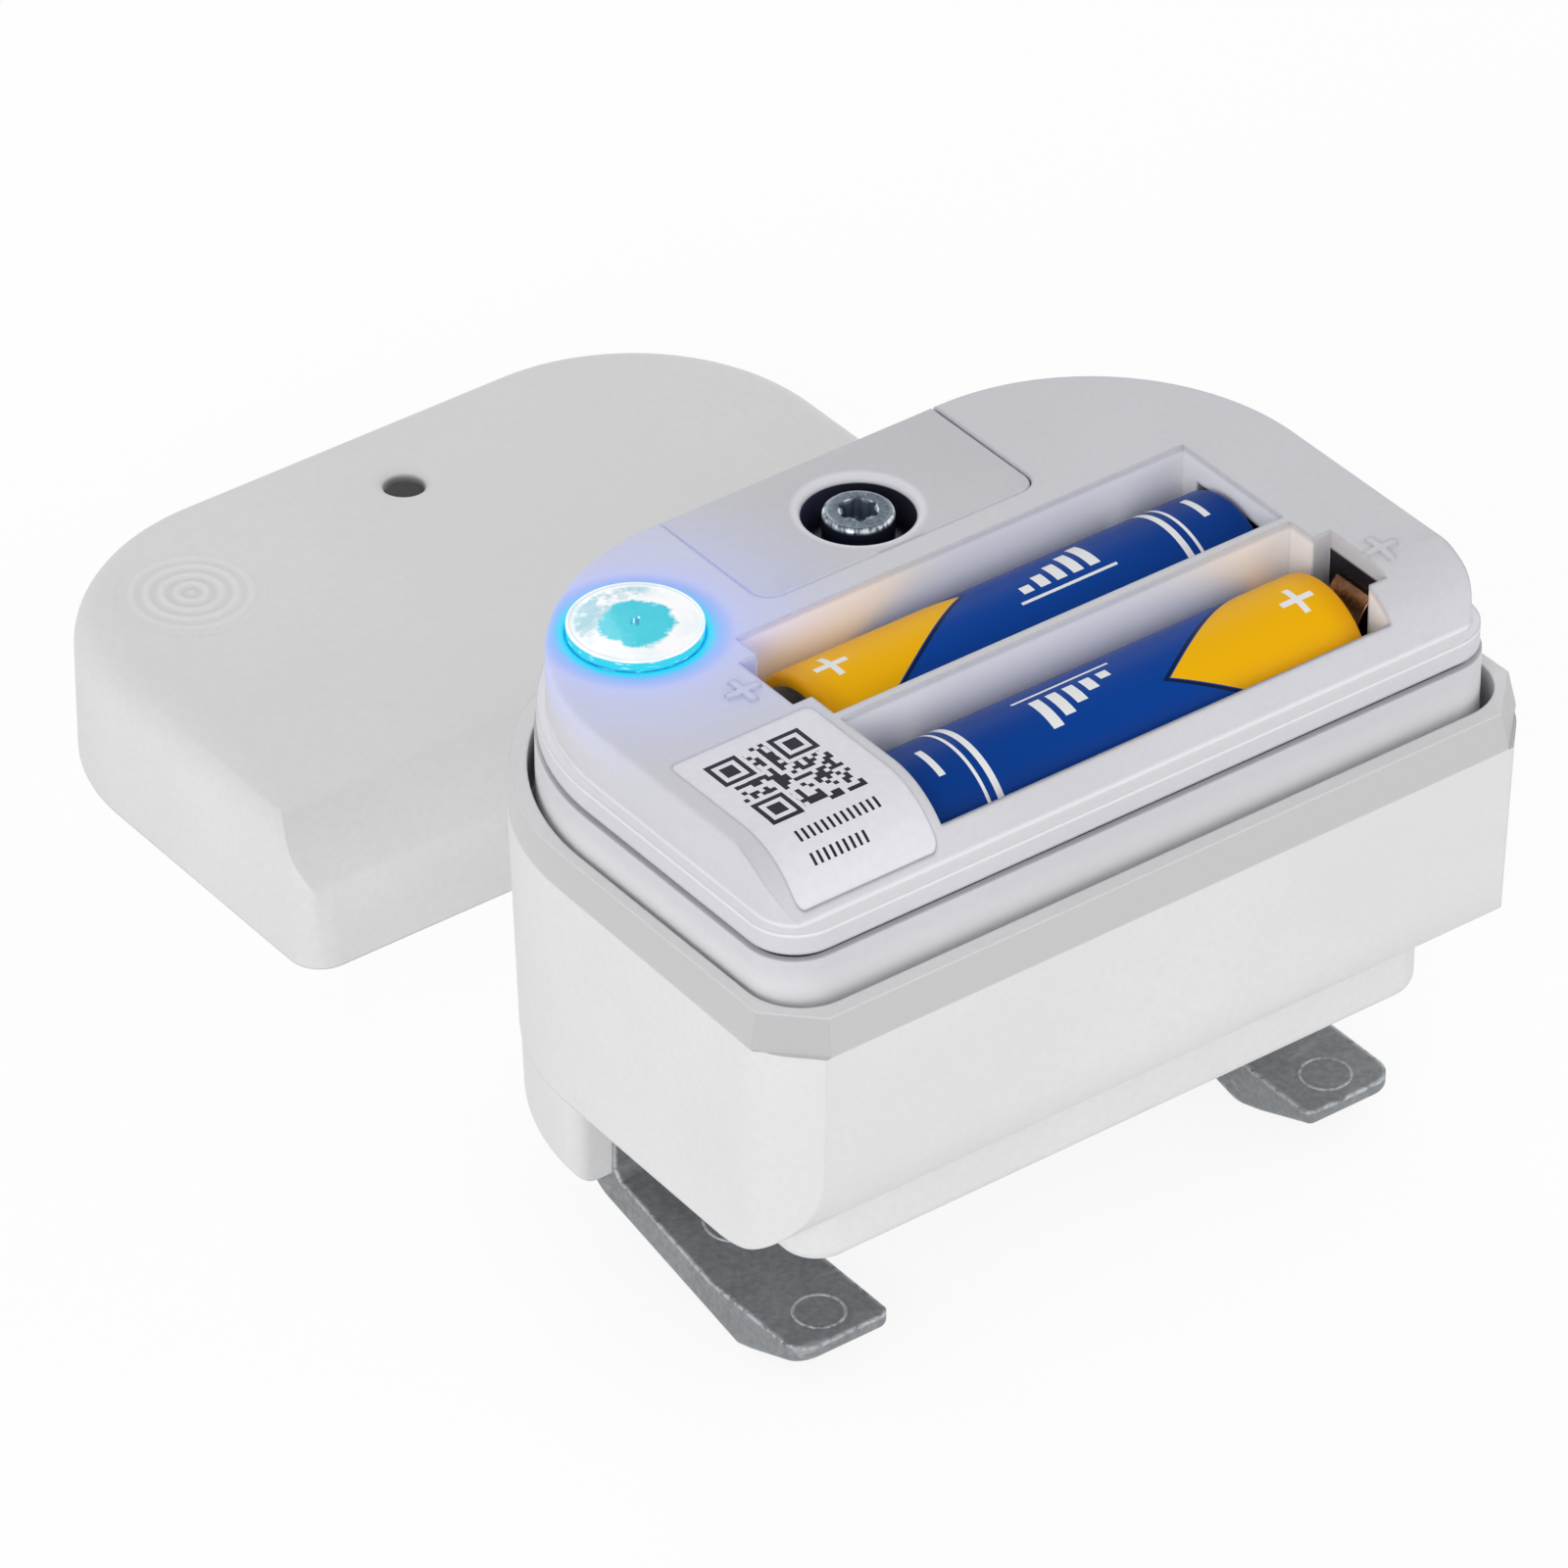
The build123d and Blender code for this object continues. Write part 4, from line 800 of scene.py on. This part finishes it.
class SENSOR_OT_button(bpy.types.Operator):
    """Clear lit lens of the status button"""

    bl_idname = "sensor.button"
    bl_label = "Status button"

    def execute(self, context):
        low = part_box("status_button")[0].z / MM
        edge = LENS_RADIUS

        def place(height, a, b):
            return ((BUTTON[0] + a) * MM, (BUTTON[1] + b) * MM, height * MM)

        profile = [(low, 0.0), (low, 2.2), (-3.0, 2.2), (-3.1, 6.3), (-2.32, 6.3), (-2.3, edge)]
        profile += [(-2.3 + 0.4 * i, edge) for i in range(1, 8)] + [(0.85, edge)]
        profile += arc((0.95, edge - 0.17), 0.17, 80, 0, 5)
        profile += [(1.05, edge - 0.3), (1.03, edge - 0.45)]
        crown = (5.6, 4.8, 3.6, 2.4, 1.2)
        profile += [(1.03 + 0.17 * (1 - (out / 5.9) ** 2), out) for out in crown]
        profile += [(1.2, 0.0)]
        add_piece(lathe("lens", profile, place, 128, self.glow()), "status_button", "button")
        return {"FINISHED"}

    def glow(self):
        """Painted glow of the lit lens: a white reflector with grey patches, radial streaks and a
        ragged cyan core, painted glints over a dark blue pin, and cyan walls with blue streaks.
        """
        finish = Finish("lit_lens")
        x, y = BUTTON
        out = finish.radius(x, y) / LENS_RADIUS
        dx, dy = (finish.x - x) / LENS_RADIUS, (finish.y - y) / LENS_RADIUS
        angle = dy.math("ARCTAN2", dx)
        fine, coarse = finish.noise(1100, 4, rough=0.7), finish.noise(300, 4, rough=0.6)
        grey_patches = (coarse * 0.55 + fine * 0.45).step(0.42, 0.58)
        grey_patches = grey_patches * (dy - dx * 0.35 + coarse * 0.5).step(0.35, 0.9) * out.fall(0.84, 0.93)
        radial_streaks = (angle * 4.0 + coarse * 9.0).math("SINE").step(0.1, 0.95) * out.step(0.55, 0.8)
        shifted = finish.radius(x - 0.25, y - 0.4) / LENS_RADIUS
        core = (shifted + (coarse - 0.5) * 0.34 + (fine - 0.5) * 0.3).fall(0.50, 0.60)
        cyan = finish.mix(fine * 0.5 + coarse * 0.5, (0.0, 0.50, 0.66, 1), (0.05, 0.72, 0.80, 1))
        base = finish.paint(
            (1.0, 0.99, 1.0, 1),
            (grey_patches, (0.34, 0.60, 0.68, 1)),
            (radial_streaks * 0.22, (0.50, 0.76, 0.84, 1)),
            (core, cyan),
        )
        side, rise = dx * 0.8 - dy * 0.6, dx * 0.6 + dy * 0.8
        # a dark blue pin in two strokes, then two painted glints
        for shift, high, wide, tall, tone in (
            (0.03, -0.02, 0.035, 0.13, (0.0, 0.26, 0.56, 1)),
            (-0.06, -0.03, 0.02, 0.10, (0.02, 0.36, 0.60, 1)),
            (-0.02, 0.0, 0.014, 0.08, (0.7, 1.0, 1.0, 1)),
            (0.05, 0.08, 0.022, 0.04, (0.9, 1.0, 1.0, 1)),
        ):
            mark = abs(side - shift).fall(wide * 0.4, wide)
            mark = mark * abs(rise - high).fall(tall * 0.4, tall)
            base = finish.mix(mark * 0.85, base, tone)
        groove = abs(out - 0.945).fall(0.006, 0.014) * finish.z.above(0.9)
        wall = out.above(0.985) * finish.z.below(0.93)
        streak = finish.noise(2.0, 3.0, place=finish.vector(angle * 2.2, finish.z * 2.4))
        tone = finish.paint(
            (0.04, 0.66, 0.78, 1),
            ((finish.z + streak * 0.6).fall(0.15, 0.5), (0.01, 0.20, 0.66, 1)),
            (streak.step(0.60, 0.70), (0.75, 0.98, 1.0, 1)),
        )
        base = finish.paint(
            base,
            (groove * 0.5, (0.30, 0.66, 0.76, 1)),
            (wall, tone),
            (finish.z.fall(-1.2, -0.3), (0.02, 0.16, 0.66, 1)),
        )
        darker = finish.mix(0.5, base, (0.02, 0.05, 0.08, 1))
        normal = finish.bump(coarse * 0.7 + fine * 0.3, 0.05)
        return finish.done(
            darker, 0.1, normal, specular_ior_level=0.4, coat_weight=0.3,
            emission_color=base, emission_strength=0.52,
        )


class SENSOR_OT_cells(bpy.types.Operator):
    """Two cells: turned cans and printed wraps"""

    bl_idname = "sensor.cells"
    bl_label = "Cells"

    def execute(self, context):
        steel = self.can_finish()
        can = [(0.0, 0.0), (0.0, 2.0)] + arc((0.35, 2.35), 0.35, 180, 90)
        can += [(1.05, 2.72), (1.25, 2.95), (1.3, 3.3), (1.5, 3.6)]
        can += [(1.5, 5.4), (1.3, 5.8), (1.3, 6.4)]
        can += arc((1.9, 6.4), 0.6, 180, 90) + [(49.8, 7.0)] + arc((49.9, 6.4), 0.6, 90, 0)
        can += [(50.5, 5.6), (50.3, 5.3), (50.3, 3.9), (50.5, 3.6), (50.5, 0.0)]
        wrap = [(1.22, 6.0), (1.18, 6.3), (1.25, 6.62)] + arc((1.85, 6.55), 0.6, 170, 90)
        wrap += [(2.6 + 0.9 * i, WRAP_RADIUS) for i in range(52)]
        wrap += arc((49.95, 6.55), 0.6, 90, 10) + [(50.58, 6.3), (50.52, 5.9)]
        for name, y, side in (("rear_cell", REAR_CELL_Y, -1), ("front_cell", FRONT_CELL_Y, 1)):
            low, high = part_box(name + "_can")
            tip = (high.x if side > 0 else low.x) / MM

            def place(depth, a, b):
                return ((tip - side * depth) * MM, (y + a) * MM, (CELL_AXIS_Z + b) * MM)

            ink = self.print_finish(name + "_print", y, tip, side)
            skins = ("_can", can, 96, steel), ("_wrap", wrap, 128, ink)
            for part, profile, turns, material in skins:
                mesh = lathe(name + part + "_skin", profile, place, turns, material)
                add_piece(mesh, name + part, name)
        return {"FINISHED"}

    def can_finish(self):
        finish = Finish("plated_can")
        smear, brush = finish.noise(300, 4), finish.noise(1800, stretch=(1, 0.15, 0.15))
        base = finish.mix(smear * 0.6 + brush * 0.4, (0.34, 0.33, 0.32, 1), (0.80, 0.79, 0.77, 1))
        return finish.done(base, 0.18 + smear * 0.22, finish.bump(brush, 0.01), metallic=1.0)

    def print_finish(self, name, y, tip, side):
        """Blue sleeve with a yellow positive end, a slanted edge, a plus and a bar gauge."""
        finish = Finish(name)
        depth = abs(tip - finish.x)
        turn = (y - finish.y).math("ARCTAN2", finish.z - CELL_AXIS_Z) * side
        around = turn * WRAP_RADIUS
        # distance past the slanted cut between the two colours
        past = depth - (21.5 - abs(turn - 0.42) * 12.0).most(4.2)
        blue, tone = shade_of("wrap_blue"), finish.noise(60)
        warm = finish.mix(depth.step(1.2, 4.5), (0.80, 0.36, 0.002, 1), shade_of("wrap_yellow"))
        ink = self.plus(depth - 5.2, around - 0.8, 1.8, 0.34)
        ink = ink.most(self.gauge(depth - 26.0, around - 1.0))
        ink = ink.most(depth.within(0.35, 43.0).most(depth.within(0.18, 44.3)))
        ink = ink.most(depth.within(0.36, 47.2) * around.within(1.9, 0.8))
        base = finish.paint(
            blue,
            (depth.step(24, 52) * 0.45 + tone * 0.15, scaled(blue, 0.55)),
            (past.within(0.3, 0.55), (0.003, 0.012, 0.05, 1)),
            (past.fall(-0.06, 0.06), warm),
            (ink, (0.86, 0.87, 0.88, 1)),
        )
        shrink = finish.noise(420, 3) * (1 - depth.step(1.0, 2.6) * depth.fall(48.6, 50.2))
        seam = around.within(0.25, -15.0)
        normal = finish.bump(shrink + seam + finish.noise(150) * 0.3, 0.05)
        return finish.done(
            base, 0.3 + tone * 0.08, normal, specular_ior_level=0.08,
            coat_weight=0.03, coat_roughness=0.12,
        )

    def plus(self, u, v, half, bar):
        u, v = abs(u), abs(v)
        return u.below(half) * v.below(bar) + u.below(bar) * v.below(half) * v.above(bar)

    def gauge(self, u, v):
        """Five bars, each taller than the last, over a thin rule."""
        pitch = 1.9
        level = (u / pitch).math("FLOOR")
        bars = u.between(0.0, 5 * pitch) * u.cycle(pitch).below(0.62)
        tall = (v + 2.0).between(0.0, level * 0.75 + 1.0)
        rule = v.within(0.16, -2.9) * (u + 1.0).above(0.0) * (u - 10.0).below(0.0)
        return (bars * tall).most(rule)


class SENSOR_OT_contacts(bpy.types.Operator):
    """Sprung contacts and coil springs at the ends of the bays"""

    bl_idname = "sensor.contacts"
    bl_label = "Contacts and springs"

    def execute(self, context):
        copper = metal("spring_copper", (0.50, 0.27, 0.15, 1), (0.16, 0.075, 0.035, 1), 0.3)
        skin_of("positive_contacts", "contact_skin", copper)
        wire = metal("spring_wire", (0.62, 0.62, 0.63, 1), (0.32, 0.32, 0.33, 1), 0.22)
        pattern = Pattern(
            "coil_springs", Turns=3.5, Wide=4.2 * MM, Narrow=2.4 * MM, Reach=3.2 * MM, Wire=0.3 * MM
        )
        coil = pattern.coil(28, "Turns", "Wide", "Narrow", "Reach")
        tube = pattern.tube(coil, pattern.circle(8, "Wire"))
        pattern.done(tube, wire, Rotation=pattern.turn())
        low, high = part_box("negative_springs")
        ends = [(high.x / MM - 0.3, REAR_CELL_Y, CELL_AXIS_Z)]
        ends += [(low.x / MM + 0.3, FRONT_CELL_Y, CELL_AXIS_Z)]
        turns = [(0, -pi / 2, 0), (0, pi / 2, 0)]
        mesh = pattern.mesh(ends, turns, Turns=sizes().spring_turns)
        rework(mesh, 35, join)
        add_piece(mesh, "negative_springs", "housing")
        return {"FINISHED"}


class SENSOR_OT_clamp_screw(bpy.types.Operator):
    """Clamp screw with its turned head, thread, washer and ring"""

    bl_idname = "sensor.clamp_screw"
    bl_label = "Clamp screw"

    def execute(self, context):
        skin_of("clamp_screw", "screw_skin", self.head_finish(), "screw", 24)
        skin_of("screw_washer", "washer_skin", self.washer_finish(), angle=24)
        dark = metal("spring_ring", (0.20, 0.20, 0.21, 1), (0.08, 0.08, 0.085, 1), 0.36)
        dress(dark, "screw_retaining_ring")
        rolled = metal("rolled_thread", (0.55, 0.56, 0.58, 1), (0.28, 0.29, 0.31, 1), 0.3)
        pattern = Pattern(
            "clamp_thread", Turns=58.0, Radius=1.96 * MM, Length=41 * MM, Depth=0.2 * MM
        )
        path = pattern.coil(20, "Turns", "Radius", "Radius", "Length")
        pattern.done(pattern.tube(path, pattern.circle(4, "Depth")), rolled)
        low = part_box("clamp_screw")[0].z / MM + 0.9
        length = THREAD_TOP_Z - low
        turns = length / (sizes().thread_pitch / MM)
        mesh = pattern.mesh([(0, 0, low)], Turns=turns, Length=length * MM)
        rework(mesh, 20, join)
        add_piece(mesh, "clamp_screw", "screw", replaces=False)
        return {"FINISHED"}

    def washer_finish(self):
        """Turned zinc, with rings round the screw's axis and edges painted near white as a
        highlight.
        """
        finish = Finish("turned_zinc")
        wobble, smear = finish.noise(900), finish.noise(420, 4)
        pitch = 0.16
        rings = finish.radius(0, 0) * (2 * pi / pitch) + wobble * 3
        rings = rings.math("SINE") * 0.5 + 0.5
        tone = (rings * 0.45 + smear * 0.55).step(0.25, 0.75)
        base = finish.mix(tone, (0.20, 0.22, 0.25, 1), (0.56, 0.58, 0.61, 1))
        # painted highlight on the edges
        base = finish.mix(finish.edges(0.3) * 0.8, base, (0.92, 0.93, 0.95, 1.0))
        normal = finish.bump(rings * 0.5 + smear * 0.5, 0.02, finish.rounded(0.25))
        return finish.done(base, smear * 0.2 + 0.2, normal, metallic=1.0)

    def head_finish(self):
        """Blued steel with radial forging marks on the head; painted shade darkens the head's side,
        the rounded rim is painted bright, partly as wear and partly as highlight, the socket's lip
        gets painted glints and the socket painted light.
        """
        finish = Finish("blued_screw")
        out = finish.radius(0, 0)
        fan = finish.vector(finish.y.math("ARCTAN2", finish.x) * 5.0, out * 0.5, finish.z * 0.3)
        marks, mottle = finish.noise(2.6, 4.0, place=fan), finish.noise(900, 4)
        tone = (marks * 0.6 + mottle * 0.4).step(0.36, 0.66)
        blued = finish.mix(tone, (0.075, 0.10, 0.135, 1), (0.20, 0.25, 0.30, 1))
        ring = abs(out - 2.95).fall(0.04, 0.16) * finish.z.above(-0.3)
        rim = out.step(3.05, 3.2) * finish.z.step(-0.6, -0.4)
        lip = abs(out - 1.8).fall(0.04, 0.14) * finish.z.above(-0.2)
        socket = out.below(1.98) * finish.z.below(-0.12)
        # painted shade on the head's side, painted highlights on the rim and the socket's lip,
        # painted light in the socket
        base = finish.paint(
            (0.03, 0.038, 0.06, 1),
            (finish.z.step(-0.75, -0.45), blued),
            (finish.z.fall(-5.2, -4.4), (0.42, 0.44, 0.47, 1)),
            (ring * 0.5, (0.34, 0.40, 0.44, 1)),
            (rim * (marks * 0.4 + mottle * 0.6).step(0.4, 0.58), (0.86, 0.90, 0.94, 1)),
            (lip * mottle.step(0.42, 0.56), (0.66, 0.74, 0.82, 1)),
            (socket, (0.22, 0.27, 0.34, 1)),
        )
        normal = finish.bump(marks * 0.6 + mottle * 0.4, 0.05, finish.rounded(0.35))
        return finish.done(base, 0.24 + mottle * 0.14, normal, metallic=0.72)


class SENSOR_OT_jaws(bpy.types.Operator):
    """Die-cast jaws with ejector rings, the yoke and its nut"""

    bl_idname = "sensor.jaws"
    bl_label = "Jaws and yoke"

    def execute(self, context):
        cast = self.cast_finish()
        for side in ("left", "right"):
            skin_of(side + "_jaw", side + "_jaw_skin", cast, "clamp")
        skin_of("clamp_yoke", "yoke_skin", cast, "clamp")
        brass = metal("nut_brass", (0.62, 0.42, 0.14, 1), (0.36, 0.22, 0.06, 1), 0.28)
        dress(brass, "yoke_nut")
        pattern = Pattern("ejector_rings", Radius=2.45 * MM, Wire=0.2 * MM)
        ring = pattern.tube(pattern.circle(64, "Radius"), pattern.circle(8, "Wire"), caps=False)
        pattern.done(ring, cast, Rotation=pattern.turn())
        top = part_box("left_jaw")[0].z / MM + 5.0
        points, turns = [], []
        for side in (-1, 1):
            for x, y in JAW_RING_SPOTS:
                climb = max(0.0, y - JAW_BEND_Y) * JAW_SLOPE
                points.append((side * x, y, top + climb - 0.07))
                turns.append((JAW_SLOPE if y > JAW_BEND_Y else 0.0, 0, 0))
        mesh = pattern.mesh(points, turns)
        rework(mesh, 35, join)
        add_piece(mesh, "left_jaw", "clamp", replaces=False)
        return {"FINISHED"}

    def cast_finish(self):
        """Tumbled zinc casting: even grey, fine specks, and bright edges, partly rubbed and partly
        painted highlight.
        """
        finish = Finish("cast_zinc")
        cloud, speck = finish.noise(240, 4, rough=0.6), finish.noise(1500, 3, rough=0.6)
        tone = (cloud * 0.4 + speck * 0.6).step(0.3, 0.72)
        # bright edges: partly rubbed wear, partly painted highlight
        rub_and_highlight = finish.edges(0.7, 0.004, 0.10) * (cloud * 0.3 + speck * 0.7).step(0.36, 0.54)
        scrape = finish.noise(520, 3, stretch=(0.12, 0.7, 1)).step(0.64, 0.72)
        base = finish.paint(
            tint(122, 126, 129),
            (tone, tint(150, 154, 157)),
            (rub_and_highlight * 0.9, tint(226, 230, 234)),
            (scrape * 0.45, tint(186, 189, 192)),
        )
        normal = finish.bump(speck * 0.6 + cloud * 0.4, 0.03, finish.rounded(0.6))
        return finish.done(base, 0.44 + speck * 0.1 - rub_and_highlight * 0.2, normal, metallic=0.3)


class SENSOR_OT_boards(bpy.types.Operator):
    """Boards, their parts and the transducers inside the housing"""

    bl_idname = "sensor.boards"
    bl_label = "Boards"

    def execute(self, context):
        dress(circuit_board("green_board"), "main_board", "status_board")
        for material, node in (
            (tinned_shield("tinned_shield"), "radio_module"),
            (metal("antenna_strip", (0.66, 0.60, 0.50, 1), (0.4, 0.34, 0.26, 1)), "antenna"),
            (self.sleeve(), "supercapacitor"),
            (moulded("switch_plastic", (0.02, 0.02, 0.022, 1), roughness=0.5), "button_switch"),
            (self.lamp(), "status_led"),
            (soft_rubber("sintered_disc", (0.30, 0.29, 0.27, 1)), "transducers"),
        ):
            dress(material, node)
        self.return_spring()
        self.chips()
        return {"FINISHED"}

    def return_spring(self):
        """Wire spring in place of the button's spring, as a plain copy of it."""
        wire = metal("return_spring", (0.62, 0.62, 0.63, 1), (0.34, 0.34, 0.35, 1), 0.22)
        piece = new_object("return_spring", plain_copy("button_spring", "return_spring", wire))
        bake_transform(piece)
        slot_of("button_spring")
        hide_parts("button_spring")

    def sleeve(self):
        finish = Finish("capacitor_sleeve")
        stripe, cloud = (finish.z + 27.4).above(3.2), finish.noise(90, 3)
        base = finish.paint(
            (0.01, 0.018, 0.06, 1),
            (stripe, (0.35, 0.37, 0.40, 1)),
            (cloud * 0.25, (0.05, 0.06, 0.1, 1)),
        )
        return finish.done(base, 0.3, finish.bump(cloud, 0.03), coat_weight=0.3)

    def lamp(self):
        finish = Finish("led_body")
        base = finish.mix(finish.noise(2200), (0.35, 0.95, 1.0, 1), (0.75, 1.0, 1.0, 1))
        return finish.done(base, 0.2, emission_color=base, emission_strength=0.8)

    def chips(self):
        """Small parts scattered over the main board, clear of the module and the antenna."""
        black = moulded("chip_plastic", (0.015, 0.015, 0.016, 1), roughness=0.55, rounding=0.08)
        pattern = Pattern("chips", Length=1.9 * MM, Width=1.1 * MM, Height=0.7 * MM, Seed=7)
        size = pattern.vector(*(pattern.size(label) for label in ("Length", "Width", "Height")))
        sides = {"Vertices X": 3, "Vertices Y": 3, "Vertices Z": 3}
        box = pattern.node("GeometryNodeMeshCube", {"Size": size, **sides})
        seed = {"Seed": pattern.size("Seed")}
        draw = "FunctionNodeRandomValue"
        keep = pattern.node(draw, {"Probability": 0.55, **seed}, {"data_type": "BOOLEAN"}, 3)
        quarter = pattern.node(draw, {"Min": 0, "Max": 1, **seed}, {"data_type": "INT"}, 2)
        turn = pattern.vector(z=quarter * (pi / 2))
        pattern.done(box, black, Selection=keep, Rotation=turn)
        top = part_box("main_board")[1].z / MM + 0.35
        spots = [(2 + 3.2 * i, -37 + 3.1 * j, top) for i in range(4) for j in range(6)]
        spots += [(-33 + 3.2 * i, -36 + 3.1 * j, top) for i in range(2) for j in range(5)]
        add_piece(pattern.mesh(spots), "main_board", "housing", replaces=False)


class SENSOR_OT_cap(bpy.types.Operator):
    """Cap with its press spot, small hole and seal"""

    bl_idname = "sensor.cap"
    bl_label = "Cap"

    def execute(self, context):
        white = moulded("cap_plastic", shade_of("casing_colour"), rounding=0.4, shade=self.shade)
        skin_of("cap", "cap_skin", white, "lid", 40)
        dress(soft_rubber("seal_rubber", (0.02, 0.02, 0.022, 1)), "cap_seal")
        pattern = Pattern("press_rings", Reach=8.0 * MM, Pitch=1.75 * MM, Height=0.16 * MM)
        reach = pattern.size("Reach")
        side, count = reach * 2.0, 150
        sockets = {"Size X": side, "Size Y": side, "Vertices X": count, "Vertices Y": count}
        grid = pattern.node("GeometryNodeMeshGrid", sockets)
        place = pattern.node("GeometryNodeInputPosition")
        out = pattern.node("ShaderNodeVectorMath", {0: place}, {"operation": "LENGTH"}, 1)
        wave = (out / pattern.size("Pitch") * (2 * pi)).math("COSINE") * 0.5 + 0.5
        fade = 1.0 - (out / reach).math("POWER", 1.6)
        lift = wave * fade * pattern.size("Height") - 0.02 * MM
        sockets = {"Geometry": grid, "Offset": pattern.vector(z=lift)}
        moved = pattern.node("GeometryNodeSetPosition", sockets)
        outer = out.above(7.6 * MM)
        sockets = {"Geometry": moved, "Selection": outer}
        pattern.done(pattern.node("GeometryNodeDeleteGeometry", sockets), white)
        mesh = pattern.mesh(
            [(*CAP_SPOT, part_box("cap")[1].z / MM)],
            Pitch=sizes().ripple_pitch, Height=sizes().ripple_height,
        )
        for face in mesh.polygons:
            face.use_smooth = True
        add_piece(mesh, "cap", "lid", replaces=False)
        return {"FINISHED"}

    def shade(self, finish, base):
        """Painted shade inside the small hole and a little on the top, and painted shade in the
        valleys and painted highlight on the crests of the rings round the press spot.
        """
        top = finish.z.step(-52.0, -48.0)
        hole = finish.radius(*CAP_AXIS).fall(1.9, 2.3) * finish.z.fall(-48.4, -47.8)
        out = finish.radius(*CAP_SPOT)
        crest = (out * (2 * pi / (sizes().ripple_pitch / MM))).math("COSINE") * 0.5 + 0.5
        spot = out.fall(5.0, 7.4) * finish.z.step(-47.6, -47.5)
        # painted shade in the hole and on the top; painted shade and highlight on the rings
        return finish.paint(
            base,
            (hole, (0.02, 0.02, 0.022, 1)),
            (top * 0.1, (0.66, 0.66, 0.66, 1)),
            (spot * (1 - crest) * 0.16, (0.55, 0.55, 0.55, 1)),
            (spot * crest * 0.25, (0.95, 0.95, 0.95, 1)),
        )


class SENSOR_OT_fasteners(bpy.types.Operator):
    """Small screws"""

    bl_idname = "sensor.fasteners"
    bl_label = "Fasteners"

    def execute(self, context):
        zinc = metal("screw_zinc", (0.55, 0.56, 0.58, 1), (0.28, 0.29, 0.30, 1), 0.3, scale=500)
        dress(zinc, "jaw_screws", "tray_screws", "housing_screws", "saddle_screws", "board_screws")
        return {"FINISHED"}


class SENSOR_PT_panel(bpy.types.Panel):
    """Sizes, colours and the steps that build the unit"""

    bl_label = "Pipe sensor unit"
    bl_space_type = "VIEW_3D"
    bl_region_type = "UI"
    bl_category = "Sensor"

    def draw(self, context):
        for name in SensorSizes.__annotations__:
            self.layout.prop(context.scene.sensor_sizes, name)
        for step in STEPS:
            self.layout.operator(step.bl_idname)


STEPS = (
    SENSOR_OT_stage, SENSOR_OT_shells, SENSOR_OT_tray, SENSOR_OT_label, SENSOR_OT_button,
    SENSOR_OT_cells, SENSOR_OT_contacts, SENSOR_OT_clamp_screw, SENSOR_OT_jaws,
    SENSOR_OT_boards, SENSOR_OT_cap, SENSOR_OT_fasteners,
)
CLASSES = (SensorSizes, *STEPS, SENSOR_PT_panel)


def register():
    for part in CLASSES:
        bpy.utils.register_class(part)
    bpy.types.Scene.sensor_sizes = bpy.props.PointerProperty(type=SensorSizes)


def unregister():
    del bpy.types.Scene.sensor_sizes
    for part in reversed(CLASSES):
        bpy.utils.unregister_class(part)


def main():
    register()
    for step in STEPS:
        group, name = step.bl_idname.split(".")
        getattr(getattr(bpy.ops, group), name)()


if __name__ == "__main__":
    main()
